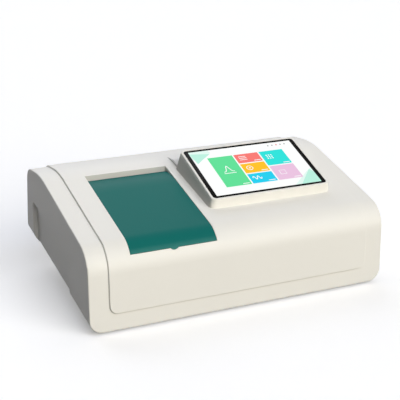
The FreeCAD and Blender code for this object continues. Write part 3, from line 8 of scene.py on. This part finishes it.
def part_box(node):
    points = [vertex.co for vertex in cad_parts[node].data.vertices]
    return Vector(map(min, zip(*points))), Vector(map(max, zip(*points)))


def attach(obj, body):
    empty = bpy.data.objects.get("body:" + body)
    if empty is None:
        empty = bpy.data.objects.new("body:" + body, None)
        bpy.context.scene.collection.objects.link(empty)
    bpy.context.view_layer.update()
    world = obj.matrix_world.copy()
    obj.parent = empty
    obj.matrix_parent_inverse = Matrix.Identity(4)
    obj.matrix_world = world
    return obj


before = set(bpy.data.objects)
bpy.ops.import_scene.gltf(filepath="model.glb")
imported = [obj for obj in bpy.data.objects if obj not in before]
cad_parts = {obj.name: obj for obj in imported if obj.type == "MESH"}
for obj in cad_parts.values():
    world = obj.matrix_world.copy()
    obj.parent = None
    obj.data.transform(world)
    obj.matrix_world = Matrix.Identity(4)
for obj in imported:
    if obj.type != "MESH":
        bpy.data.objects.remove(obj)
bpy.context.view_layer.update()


# Chassis tray, folded from zinc-plated steel sheet, with the screws that hold the
# moulded cradle to its flange. It stands inset under the raised rear on four turned
# rubber feet, and the bench inside has mounts of the same rubber.

class Field:
    """A number, colour or vector that changes over a surface; maths on it adds Math nodes."""

    def __init__(self, finish, socket):
        self.finish = finish
        self.socket = socket

    def maths(self, operation, first, second=0.0):
        return self.finish.node("Math", {"operation": operation}, {0: first, 1: second})

    def __add__(self, other):
        return self.maths("ADD", self, other)

    def __sub__(self, other):
        return self.maths("SUBTRACT", self, other)

    def __rsub__(self, other):
        return self.maths("SUBTRACT", other, self)

    def __mul__(self, other):
        return self.maths("MULTIPLY", self, other)

    def __lt__(self, other):
        return self.maths("LESS_THAN", self, other)

    def __gt__(self, other):
        return self.maths("GREATER_THAN", self, other)

    def __abs__(self):
        return self.maths("ABSOLUTE", self)

    def at_least(self, limit):
        return self.maths("MAXIMUM", self, limit)

    def at_most(self, limit):
        return self.maths("MINIMUM", self, limit)

    def root(self):
        return self.maths("SQRT", self)

    __radd__ = __add__
    __rmul__ = __mul__


class Finish:
    """The recipe of one material, read at each point's place in the row frame, in metres."""

    def __init__(self, name, owner=None):
        owner = owner or bpy.data.materials.new(name)
        owner.use_nodes = True
        self.owner = owner
        self.tree = owner.node_tree
        self.tree.nodes.clear()

    def node(self, kind, settings=None, inputs=None, output=0):
        made = self.tree.nodes.new("ShaderNode" + kind)
        for name, value in (settings or {}).items():
            setattr(made, name, value)
        for place, value in (inputs or {}).items():
            if isinstance(value, Field):
                self.tree.links.new(value.socket, made.inputs[place])
            else:
                made.inputs[place].default_value = value
        return Field(self, made.outputs[output]) if made.outputs else None

    def place(self):
        return self.node("TexCoord", output="Object")

    def parts_of(self, vector):
        return [self.node("SeparateXYZ", {}, {0: vector}, i) for i in range(3)]

    def noise(self, place, per_metre, detail=2.0):
        return self.node("TexNoise", {}, {"Vector": place, "Scale": per_metre, "Detail": detail})

    def cells(self, place, per_metre, feature="F1"):
        return self.node("TexVoronoi", {"feature": feature}, {"Vector": place, "Scale": per_metre})

    def mix(self, share, low, high):
        return self.node("Mix", {"data_type": "RGBA"}, {0: share, 6: low, 7: high}, 2)

    def bump(self, height, depth):
        return self.node("Bump", {}, {"Height": height, "Distance": depth})

    def surface(self, inputs):
        self.node("OutputMaterial", {}, {0: self.node("BsdfPrincipled", {}, inputs)})
        return self.owner


def paint(red, green, blue):
    """A colour as it is seen on a screen, 0 to 255, made linear for the shader."""
    seen = np.array([red, green, blue]) / 255
    linear = np.where(seen <= 0.04045, seen / 12.92, ((seen + 0.055) / 1.055) ** 2.4)
    return (*linear.tolist(), 1.0)


def lighter(colour, share):
    return (*(min(c * share, 1.0) for c in colour[:3]), 1.0)


def dress(material, *nodes):
    """Gives CAD nodes this finish."""
    for name in nodes:
        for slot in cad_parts[name].material_slots:
            slot.material = material


def zinc_sheet(name, colour):
    """Zinc spangles: each crystal cell has its own shade and gloss, over fine rolling marks."""
    finish = Finish(name)
    place = finish.place()
    spangle = finish.noise(place, 140, detail=1)
    rolled = finish.noise(place, 900, detail=3)
    shade = finish.mix(spangle, lighter(colour, 0.86), lighter(colour, 1.12))
    return finish.surface({"Base Color": shade, "Metallic": 1.0, "Roughness": 0.3 + 0.16 * spangle,
                           "Normal": finish.bump(rolled, 0.02e-3)})


def turned_steel(name, colour, roughness):
    """Bright steel with faint lathe marks and a little tarnish."""
    finish = Finish(name)
    place = finish.place()
    marks = finish.noise(place, 3000, detail=1)
    tarnish = finish.noise(place, 260, detail=3)
    shade = finish.mix(tarnish, lighter(colour, 0.82), lighter(colour, 1.1))
    return finish.surface({"Base Color": shade, "Metallic": 1.0, "Roughness": roughness + 0.12 * tarnish,
                           "Normal": finish.bump(marks, 0.01e-3)})


def soft_rubber(name, colour, pits_per_metre):
    """Matt rubber or foam: pits in the bump, and bloom that greys it in patches."""
    finish = Finish(name)
    place = finish.place()
    bloom = finish.noise(place, 90, detail=3)
    pits = finish.cells(place, pits_per_metre)
    shade = finish.mix(bloom, colour, lighter(colour, 1.9))
    return finish.surface({"Base Color": shade, "Roughness": 0.78 + 0.15 * bloom,
                           "Normal": finish.bump(pits, 0.15e-3)})


screw_steel = turned_steel("screw_steel", paint(176, 176, 178), 0.26)
dress(zinc_sheet("zinc_steel", paint(186, 188, 190)), "chassis_tray")
dress(soft_rubber("foot_rubber", paint(34, 34, 35), 1400), "feet", "bench_mounts")
dress(screw_steel, "tray_screws")


# Cradle: one cream moulding that makes the cheeks, the front edge, the floor and
# the back, with a finger grip let into each side. It is polycarbonate and ABS,
# moulded with a fine spark-eroded grain on every outer face.

def moulded(name, colour, roughness, grain=0.9e-3, depth=0.012e-3, gloss=0.35,
            painted_light_share=None, painted_light_colour=(0, 0, 0, 1)):
    """Satin moulding: etched grain in the bump, a faint drift of shade and gloss over the panel.

    The share function takes a place's x, y and z and gives how much painted shade or painted highlight
    colour is laid on there.
    """
    finish = Finish(name)
    place = finish.place()
    drift = finish.noise(place, 6, detail=2)
    etched = finish.noise(place, 1 / grain, detail=2)
    shade = finish.mix(drift, lighter(colour, 0.975), lighter(colour, 1.02))
    if painted_light_share:
        shade = finish.mix(painted_light_share(*finish.parts_of(place)), shade, painted_light_colour)
    return finish.surface({"Base Color": shade, "Roughness": roughness - 0.04 + 0.08 * drift,
                           "Specular IOR Level": gloss, "Normal": finish.bump(etched, depth)})


cream = paint(237, 234, 226)
rim_half_width = 0.2515
rim_sill = 0.036
rim_radius = 0.015
# Share and reach of the painted shade along the joint under the cover's rim.
seam_shade_share = 0.4
seam_shade_reach = 0.002


def seam_painted_shade(x, y, z):
    """Painted shade along the cover's rim, standing in for the shadow in the joint: most at the rim, and
    gone where its reach ends.

    In the front view the rim is a rectangle with round lower corners. With a and b, never
    below 0, as the way beyond a corner's centre, the rim is hypot(a, b) less the radius away.
    """
    aside = (abs(x) - (rim_half_width - rim_radius)).at_least(0)
    below = (rim_sill + rim_radius - z).at_least(0)
    outside = (aside * aside + below * below).root() - rim_radius
    return (seam_shade_share - seam_shade_share / seam_shade_reach * abs(outside)).at_least(0)


dress(moulded("housing", cream, 0.46, painted_light_share=seam_painted_shade), "base_housing")


# Optical bench, a ribbed aluminium casting that every optical piece is screwed to.
# Its upper face is milled flat and the rest is left as it was cast.

def cast_metal(name, colour):
    """Sand-cast aluminium: coarse skin in the bump, shade drifting with the flow of the metal."""
    finish = Finish(name)
    place = finish.place()
    flow = finish.noise(place, 30, detail=4)
    skin = finish.noise(place, 650, detail=3)
    shade = finish.mix(flow, lighter(colour, 0.85), lighter(colour, 1.1))
    return finish.surface({"Base Color": shade, "Metallic": 1.0, "Roughness": 0.42 + 0.2 * flow,
                           "Normal": finish.bump(skin, 0.1e-3)})


cast_aluminium = cast_metal("cast_aluminium", paint(196, 198, 200))
dress(cast_aluminium, "optical_bench", "monochromator_case", "grating_pedestal")


# Sample compartment: a black moulded tub with four quartz windows, and in it the
# anodised holder for two cuvettes, each held by a bent strip of spring steel.

def clear_plate(name, tint, roughness=0.02):
    """Polished quartz or glass, with a trace of polishing haze."""
    finish = Finish(name)
    haze = finish.noise(finish.place(), 40, detail=3)
    return finish.surface({"Base Color": tint, "Roughness": roughness + 0.03 * haze,
                           "Transmission Weight": 1.0, "IOR": 1.46})


def anodised(name, colour):
    """Black anodised aluminium: a fine blasted skin with a dull metal sheen."""
    finish = Finish(name)
    place = finish.place()
    blasted = finish.noise(place, 2200, detail=2)
    drift = finish.noise(place, 45, detail=2)
    shade = finish.mix(drift, colour, lighter(colour, 1.5))
    return finish.surface({"Base Color": shade, "Metallic": 0.6, "Roughness": 0.46 + 0.12 * drift,
                           "Normal": finish.bump(blasted, 0.03e-3)})


black_plastic = moulded("black_plastic", paint(42, 42, 44), 0.5, 0.6e-3, 0.03e-3)
black_anodised = anodised("black_anodised", paint(44, 44, 47))
quartz = clear_plate("quartz", (0.94, 0.97, 0.98, 1.0))
spring_steel = turned_steel("spring_steel", paint(205, 206, 210), 0.18)
dress(black_plastic, "compartment_tub")
dress(black_anodised, "cell_holder")
dress(quartz, "beam_windows")
dress(spring_steel, "cell_springs")
dress(screw_steel, "cell_holder_screws")


# Detectors: two photodiodes in metal cans, side by side in a black block, with
# their amplifier board behind it. The posts turn each beam into its window.

track_share = 0.07
pad_share = 0.16


def circuit_board(name, colour, parts_above=None):
    """Solder mask over copper tracks, with tinned pads; above a level, moulded parts of mixed colours."""
    finish = Finish(name)
    place = finish.place()
    tracks = finish.cells(place, 170, "DISTANCE_TO_EDGE") < track_share
    pads = finish.cells(place, 420) < pad_share
    mask = finish.mix(tracks, colour, lighter(colour, 1.9))
    shade = finish.mix(pads, mask, paint(190, 188, 176))
    metal = 0.9 * pads
    gloss = 0.34 - 0.1 * pads
    if parts_above is not None:
        level = finish.parts_of(place)[2]
        batch = finish.noise(place, 24, detail=0)
        parts = finish.mix(batch > 0.5, paint(40, 42, 46), paint(96, 100, 108))
        above = level > parts_above
        shade = finish.mix(above, shade, parts)
        metal = metal * (1 - above)
    return finish.surface({"Base Color": shade, "Metallic": metal, "Roughness": gloss,
                           "Normal": finish.bump(tracks, 0.03e-3)})


green_board = circuit_board("circuit_board", paint(28, 92, 62))
dress(black_anodised, "detector_block", "mirror_posts")
dress(screw_steel, "photodiodes")
dress(green_board, "detector_board")


# Beam optics: the splitter, the folding mirror, the two hollow mirrors and the
# ruled grating. All are glass blanks with bright aluminium on the front face.

def mirror_coat(name, colour, lines_per_metre=0):
    """Evaporated aluminium on glass, with the fine ruling of a grating where it has one."""
    finish = Finish(name)
    place = finish.place()
    dust = finish.noise(place, 500, detail=3)
    inputs = {"Base Color": colour, "Metallic": 1.0, "Roughness": 0.03 + 0.06 * dust}
    if lines_per_metre:
        ruled = finish.node("TexWave", {"bands_direction": "X"}, {"Vector": place, "Scale": lines_per_metre})
        inputs["Normal"] = finish.bump(ruled, 0.02e-3)
    return finish.surface(inputs)


dress(mirror_coat("mirror_coat", paint(232, 232, 236)), "fold_mirror", "source_mirror", "concave_mirrors")
dress(mirror_coat("grating_face", paint(214, 222, 236), 900), "grating")
dress(clear_plate("splitter_glass", (0.85, 0.9, 0.95, 1.0)), "beam_splitter")
dress(black_anodised, "mirror_mounts", "entrance_slit", "exit_slit", "monochromator_cover")


# Grating drive: a stepping motor whose steel pinion turns the brass sector under
# the grating, inside the cast case with its black screwed cover.

def cut_brass(name, colour):
    """Machined brass: cutter marks and slight browning."""
    finish = Finish(name)
    place = finish.place()
    browning = finish.noise(place, 120, detail=3)
    cutter = finish.noise(place, 2600, detail=1)
    shade = finish.mix(browning, lighter(colour, 0.8), lighter(colour, 1.08))
    return finish.surface({"Base Color": shade, "Metallic": 1.0, "Roughness": 0.24 + 0.14 * browning,
                           "Normal": finish.bump(cutter, 0.02e-3)})


motor_black = moulded("motor_steel", paint(44, 44, 46), 0.4, 0.7e-3, 0.02e-3)
dress(cut_brass("gear_brass", paint(205, 170, 92)), "grating_table")
dress(screw_steel, "drive_pinion", "monochromator_screws")
dress(motor_black, "drive_motor", "source_mirror_motor", "filter_motor")


# Light source: deuterium and halogen lamps in a vented steel house, the swinging
# mirror that picks one of them, and the wheel of six coloured filters.

lamp_glass = clear_plate("lamp_glass", (0.97, 0.98, 1.0, 1.0))
dress(zinc_sheet("lamp_house_steel", paint(150, 152, 156)), "lamp_house")
dress(moulded("socket_ceramic", paint(226, 222, 210), 0.6, 0.5e-3, 0.03e-3), "lamp_sockets")
dress(lamp_glass, "deuterium_lamp", "halogen_lamp")
dress(black_anodised, "filter_wheel")
dress(clear_plate("filter_glass", (0.55, 0.75, 0.95, 1.0)), "filter_glasses")


# Boards: the power supply flat on the bench, and the main board upright behind
# the rear panel on its standoffs, with the chips and plugs soldered to it.

def board_parts(name):
    """Chips, coils and plugs: black mouldings with some pale ones among them."""
    finish = Finish(name)
    place = finish.place()
    batch = finish.noise(place, 32, detail=0)
    moulding = finish.mix(batch > 0.56, paint(38, 38, 41), paint(208, 206, 196))
    return finish.surface({"Base Color": moulding, "Roughness": 0.4 + 0.2 * batch,
                           "Normal": finish.bump(finish.noise(place, 1800, detail=1), 0.02e-3)})


supply_board_top = 0.0077
supply_parts_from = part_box("power_supply")[0].z + supply_board_top
dress(circuit_board("supply_board", paint(30, 84, 58), supply_parts_from), "power_supply")
dress(green_board, "main_board", "display_board")
dress(board_parts("board_parts"), "board_components")
dress(screw_steel, "board_standoffs", "data_ports")


# Rear panel of powder-coated steel, with its slots, ports and screws, and the
# chromed guard over the fan that draws air through the case.

def powder_coat(name, colour):
    """Powder coat: the low orange-peel of the baked film."""
    finish = Finish(name)
    place = finish.place()
    peel = finish.noise(place, 700, detail=1)
    drift = finish.noise(place, 12, detail=2)
    shade = finish.mix(drift, lighter(colour, 0.96), lighter(colour, 1.03))
    return finish.surface({"Base Color": shade, "Roughness": 0.42 + 0.08 * peel,
                           "Normal": finish.bump(peel, 0.06e-3)})


dress(powder_coat("panel_grey", paint(206, 205, 200)), "rear_panel")
dress(screw_steel, "rear_panel_screws")
dress(turned_steel("wire_chrome", paint(222, 222, 226), 0.1), "fan_guard")
dress(black_plastic, "fan_frame", "fan_rotor", "switch_frame", "power_rocker")


# Mains inlet: a black moulding with three flat tinned pins at the bottom of its
# well. The pins are told from the moulding by their outlines, seen along the back.

def inlet_moulding(name, pin_places, pin_half_width, pin_half_height):
    """Black moulding; within each pin's outline, seen along the back, it is tinned brass."""
    finish = Finish(name)
    place = finish.place()
    x, y, z = finish.parts_of(place)
    pins = None
    for pin_x, pin_z in pin_places:
        inside = (abs(x - pin_x) < pin_half_width) * (abs(z - pin_z) < pin_half_height)
        pins = inside if pins is None else pins + inside
    grain = finish.noise(place, 1500, detail=2)
    shade = finish.mix(pins, paint(36, 36, 38), paint(206, 204, 196))
    return finish.surface({"Base Color": shade, "Metallic": pins, "Roughness": 0.48 - 0.2 * pins,
                           "Normal": finish.bump(grain, 0.02e-3)})


outer_pin_offset = 0.007
pin_row_offset = 0.002
pin_half_width = 0.00105
pin_half_height = 0.0032
inlet_low, inlet_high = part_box("mains_inlet")
inlet = (inlet_low + inlet_high) / 2
pin_places = [(inlet.x - outer_pin_offset, inlet.z + pin_row_offset),
              (inlet.x + outer_pin_offset, inlet.z + pin_row_offset),
              (inlet.x, inlet.z - pin_row_offset)]
dress(inlet_moulding("mains_inlet", pin_places, pin_half_width, pin_half_height), "mains_inlet")


# Main cover: the second large cream moulding, which stands a little proud of the
# cradle and slopes down to the front in one sweep.

recess_wall = 0.048
recess_middle = -0.1305
recess_half_width = 0.0803
recess_tolerance = 0.0004
# Share of the painted shade on the wall behind the lid.
recess_shade_share = 0.34


def recess_painted_shade(x, y, z):
    """Painted shade on the wall behind the lid, where the recess lies in shadow: a greyer colour on that
    wall only.
    """
    on_wall = abs(y - recess_wall) < recess_tolerance
    return recess_shade_share * on_wall * (abs(x - recess_middle) < recess_half_width)


dress(moulded("cover", cream, 0.44, painted_light_share=recess_painted_shade), "main_cover")


# Sample lid: a teal moulding that wraps over the front bend, with its hinge pins
# at the back and a foam seal under it.

# The lid's lower edge, and the height and share of the painted highlight in paler teal above it.
lid_edge = 0.133
edge_highlight_height = 0.010
edge_highlight_share = 0.25


def lid_edge_painted_highlight(x, y, z):
    """Painted highlight: the lower edge is paler where its bend would catch the light from the front, most
    at the edge itself.
    """
    edge_highlight = (lid_edge + edge_highlight_height - z) * (1 / edge_highlight_height)
    return edge_highlight_share * edge_highlight.at_least(0).at_most(1)


dress(moulded("lid_teal", paint(13, 103, 97), 0.5, gloss=0.08, painted_light_share=lid_edge_painted_highlight, painted_light_colour=paint(108, 170, 160)),
      "sample_lid")
dress(screw_steel, "lid_pivot_pins")
dress(soft_rubber("seal_foam", paint(30, 30, 31), 2200), "lid_seal")


# Display: a tilted cream shell with a touch glass let into its face. The glass has
# a black printed border; the panel, its frame and its board are behind it.

glass_gloss = 0.04


def touch_glass(name):
    """Black print under polished glass, with a few faint finger marks in its gloss."""
    finish = Finish(name)
    touched = finish.noise(finish.place(), 26, detail=4)
    return finish.surface({"Base Color": paint(8, 8, 8), "Roughness": 0.05 + 0.05 * touched,
                           "Specular IOR Level": glass_gloss})


shell_middle = 0.094
shell_half_width = 0.1215
flank_inset = 0.0008
flank_fade = 0.0025
# Share of the painted shade on the shell's flanks.
flank_shade_share = 0.4


def flank_painted_shade(x, y, z):
    """Painted shade on the shell's flanks: a greyer colour than its face, where the flanks lie in shadow.

    The flanks lean outwards below the rim, so the shade sets in at the rim and grows with the
    distance from the shell's middle. It is full about 8 mm below the rim.
    """
    flank = (abs(x - shell_middle) - (shell_half_width - flank_inset)) * (1 / flank_fade)
    return flank_shade_share * flank.at_least(0).at_most(1)


dress(moulded("display_shell", cream, 0.44, painted_light_share=flank_painted_shade), "display_housing")
dress(touch_glass("touch_glass"), "cover_glass")
dress(black_plastic, "display_frame")
dress(moulded("lcd", paint(235, 240, 238), 0.3), "lcd_module")


# The picture on the lit panel: a plain start page of coloured tiles with simple
# signs. Each is a very thin sheet on the glass, placed in the panel's millimetres
# from its lower left corner.

panel_width = 0.217
panel_height = 0.136
glass_length = 0.147
display_tilt = math.radians(21)
sheet_step = 0.00006

glass_low, glass_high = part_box("cover_glass")
glass_rise = glass_length * math.sin(display_tilt)
glass_thickness = (glass_high.z - glass_low.z - glass_rise) / math.cos(display_tilt)
panel_right = Vector((1, 0, 0))
panel_up = Vector((0, math.cos(display_tilt), math.sin(display_tilt)))
panel_out = Vector((0, -math.sin(display_tilt), math.cos(display_tilt)))
panel_corner = ((glass_low + glass_high) / 2 + panel_out * glass_thickness / 2
                - panel_right * panel_width / 2 - panel_up * panel_height / 2)


def lit(name, colour):
    """A backlit colour: even light with the panel's fine lines, under the gloss of the glass."""
    finish = Finish(name)
    place = finish.place()
    lines = finish.node("TexWave", {"bands_direction": "X"}, {"Vector": place, "Scale": 180.0})
    shade = finish.mix(lines, lighter(colour, 0.985), colour)
    return finish.surface({"Base Color": (0.01, 0.01, 0.01, 1), "Emission Color": shade,
                           "Emission Strength": 1.0, "Roughness": 0.2, "Specular IOR Level": glass_gloss})


def sheet(name, outline, layer, material):
    """Closed thin plate whose outline is in panel millimetres, on the given layer above the glass."""
    points = np.asarray(outline, float) / 1000
    count = len(points)
    right, up, out = (np.array(axis) for axis in (panel_right, panel_up, panel_out))
    flat = np.array(panel_corner) + points[:, :1] * right + points[:, 1:] * up
    corners = np.concatenate([flat, flat + out * sheet_step * (layer + 1)])
    ring = np.arange(count)
    after = np.roll(ring, -1)
    sides = np.stack([ring, after, after + count, ring + count], 1)
    mesh = bpy.data.meshes.new(name)
    mesh.from_pydata(corners.tolist(), [], [ring[::-1].tolist(), (ring + count).tolist()] + sides.tolist())
    mesh.materials.append(material)
    piece = bpy.data.objects.new(name, mesh)
    bpy.context.scene.collection.objects.link(piece)
    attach(piece, "instrument")
    return piece


def rounded(left, right, low, high, radius, steps=5):
    """Rectangle with quarter-circle corners: each corner centre plus radius times (cos, sin)."""
    turn = np.linspace(0, math.pi / 2, steps)
    corners = [(right - radius, high - radius, 0), (left + radius, high - radius, 1),
               (left + radius, low + radius, 2), (right - radius, low + radius, 3)]
    return np.concatenate([np.stack([x + radius * np.cos(turn + k * math.pi / 2),
                                     y + radius * np.sin(turn + k * math.pi / 2)], 1)
                           for x, y, k in corners])


def disc(x, y, radius, steps=32):
    turn = np.linspace(0, 2 * math.pi, steps, endpoint=False)
    return np.stack([x + radius * np.cos(turn), y + radius * np.sin(turn)], 1)


def line(points, width):
    """Band of even width along the points: each point moved half a width to both sides of the path."""
    path = np.asarray(points, float)
    along = np.gradient(path, axis=0)
    along /= np.linalg.norm(along, axis=1, keepdims=True)
    across = np.stack([-along[:, 1], along[:, 0]], 1) * width / 2
    return np.concatenate([path - across, (path + across)[::-1]])


page_white = lit("page_white", paint(252, 254, 253))
page_mint = lit("page_mint", paint(186, 240, 222))
page_pale_mint = lit("page_pale_mint", paint(226, 249, 241))
sign_white = lit("sign_white", paint(250, 252, 252))
page_layer, leaf_layer, fold_layer, tile_layer, sign_layer = range(5)

upper_leaf = [(0, 136), (0, 112), (12, 104), (43, 128), (40, 136)]
upper_fold = [(0, 130), (5, 98), (20, 110), (40, 124)]
lower_leaf = [(217, 0), (217, 44), (205, 36), (162, 0)]
lower_fold = [(217, 0), (217, 30), (211, 40), (188, 14), (176, 0)]
sheet("screen_page", rounded(0, 217, 0, 136, 0.5), page_layer, page_white)
sheet("screen_corner_upper", upper_leaf, leaf_layer, page_pale_mint)
sheet("screen_corner_upper_fold", upper_fold, fold_layer, page_mint)
sheet("screen_corner_lower", lower_leaf, leaf_layer, page_pale_mint)
sheet("screen_corner_lower_fold", lower_fold, fold_layer, page_mint)

tiles = [("green", paint(92, 224, 150), 29, 80.5, 20, 111.5),
         ("coral", paint(248, 119, 112), 83.5, 134.5, 84, 111.5),
         ("amber", paint(255, 193, 16), 83.5, 134.5, 52, 81),
         ("blue", paint(6, 206, 238), 83.5, 134.5, 20, 49),
         ("turquoise", paint(28, 226, 218), 137.5, 188.5, 66.5, 111.5),
         ("lilac", paint(234, 194, 224), 137.5, 188.5, 20, 63.5)]
for tile, colour, left, right, low, high in tiles:
    sheet("tile_" + tile, rounded(left, right, low, high, 0.8), tile_layer, lit("tile_" + tile, colour))
    caption_bar = rounded(right - 17, right - 3, low + 3.2, low + 5, 0.9)
    sheet("caption_bar_" + tile, caption_bar, sign_layer, sign_white)

peak = np.linspace(-11, 11, 41)
peak_path = np.stack([54.5 + peak, 64 + 17 * np.exp(-(peak / 4.2) ** 2)], 1)
sheet("sign_peak", line(peak_path, 1.7), sign_layer, sign_white)
sheet("sign_base", rounded(42, 67, 58.6, 60.2, 0.7), sign_layer, sign_white)
for i in range(3):
    sheet(f"sign_list_{i}", rounded(90, 106, 93 + 5 * i, 94.6 + 5 * i, 0.8), sign_layer, sign_white)
ring_turn = np.linspace(0, 2 * math.pi, 49)
ring_path = np.stack([98 + 6 * np.cos(ring_turn), 67 + 6 * np.sin(ring_turn)], 1)
sheet("sign_dial", line(ring_path, 1.4), sign_layer, sign_white)
sheet("sign_dial_dot", disc(98, 67, 1.8), sign_layer, sign_white)
wave = np.linspace(-9, 9, 41)
wave_path = np.stack([99 + wave, 36 + 4.5 * np.sin(wave * 0.7)], 1)
sheet("sign_wave", line(wave_path, 1.6), sign_layer, sign_white)
for i in range(9):
    sheet(f"sign_dot_{i}", disc(148 + 5 * (i % 3), 88 + 5 * (i // 3), 1.5, 20), sign_layer, sign_white)
frame_path = [(150, 36), (162, 36), (162, 48), (150, 48), (150, 36)]
sheet("sign_frame", line(frame_path, 1.2), sign_layer, sign_white)

mark_grey = lit("mark_grey", paint(150, 156, 158))
mark_red = lit("mark_red", paint(226, 92, 96))
for i in range(5):
    sheet(f"status_mark_{i}", disc(166 + 9 * i, 127, 1.6, 20), tile_layer, mark_red if i == 2 else mark_grey)


# Studio: a wide white floor, soft light from a window in front and from pale
# ceilings in front and behind, and the photograph's camera.

def plane(name, half, z):
    mesh = bpy.data.meshes.new(name)
    corners = [(-half, -half, z), (half, -half, z), (half, half, z), (-half, half, z)]
    mesh.from_pydata(corners, [], [(0, 1, 2, 3)])
    made = bpy.data.objects.new(name, mesh)
    bpy.context.scene.collection.objects.link(made)
    return made


def seen_share(finish):
    """1 for rays from the camera and for those that gloss and glass send on, else 0."""
    rays = [finish.node("LightPath", output=name)
            for name in ("Is Camera Ray", "Is Glossy Ray", "Is Transmission Ray")]
    return (rays[0] + rays[1] + rays[2]).at_most(1.0)


def white_floor(name, unseen, white, lift):
    """Floor that is white where it is seen, with a little light added to keep its shadow pale.

    The light that it throws up at the part is that of the darker, unseen colour.
    """
    finish = Finish(name)
    seen = seen_share(finish)
    shade = finish.mix(seen, unseen, white)
    return finish.surface({"Base Color": shade, "Roughness": 0.9, "Specular IOR Level": 0.0,
                           "Emission Color": finish.mix(seen, (0, 0, 0, 1), (lift, lift, lift, 1)),
                           "Emission Strength": 1.0})


floor_half = 14.0
floor_unseen = (0.145, 0.145, 0.145, 1)
floor_seen = (1, 0.985, 0.965, 1)
floor_lift = 0.265
floor = plane("floor", floor_half, 0.0)
floor.data.materials.append(white_floor("floor_white", floor_unseen, floor_seen, floor_lift))

room = bpy.data.worlds.new("room")
bpy.context.scene.world = room
air = Finish("air", room)
unseen_level = 0.02
level = unseen_level + seen_share(air) * (1 - unseen_level)
air.node("OutputWorld", {}, {0: air.node("Background", {}, {"Color": (1, 1, 1, 1), "Strength": level})})


def sun(name, towards, strength, spread_deg, colour):
    """Lamp so far off that its light is parallel, shining along the vector towards."""
    lamp = bpy.data.lights.new(name, "SUN")
    lamp.energy = strength
    lamp.angle = math.radians(spread_deg)
    lamp.color = colour
    holder = bpy.data.objects.new(name, lamp)
    holder.rotation_euler = Vector(towards).to_track_quat("-Z", "Y").to_euler()
    bpy.context.scene.collection.objects.link(holder)


soft_spread = 60
sun("front_window", (-0.30, 0.93, -0.20), 2.60, soft_spread, (1.0, 0.925, 0.72))
sun("front_ceiling", (-0.20, 0.75, -0.63), 1.61, soft_spread, (0.735, 0.81, 1.0))
sun("rear_ceiling", (0.0, -0.75, -0.66), 1.43, soft_spread, (0.925, 0.945, 1.0))

bpy.context.scene.view_settings.view_transform = "Standard"

camera_place = Vector((-0.7537, -1.6456, 0.7329))
camera_right = Vector((0.9086, -0.4177, -0.0046))
camera_up = Vector((0.1323, 0.2774, 0.9516))
camera_back = Vector((-0.3962, -0.8652, 0.3073))
lens = bpy.data.cameras.new("camera")
lens.lens = 90.3
lens.sensor_width = 36.0
lens.clip_end = 60.0
camera = bpy.data.objects.new("camera", lens)
turn = Matrix((camera_right, camera_up, camera_back)).transposed()
camera.matrix_world = Matrix.Translation(camera_place) @ turn.to_4x4()
bpy.context.scene.collection.objects.link(camera)
bpy.context.scene.camera = camera
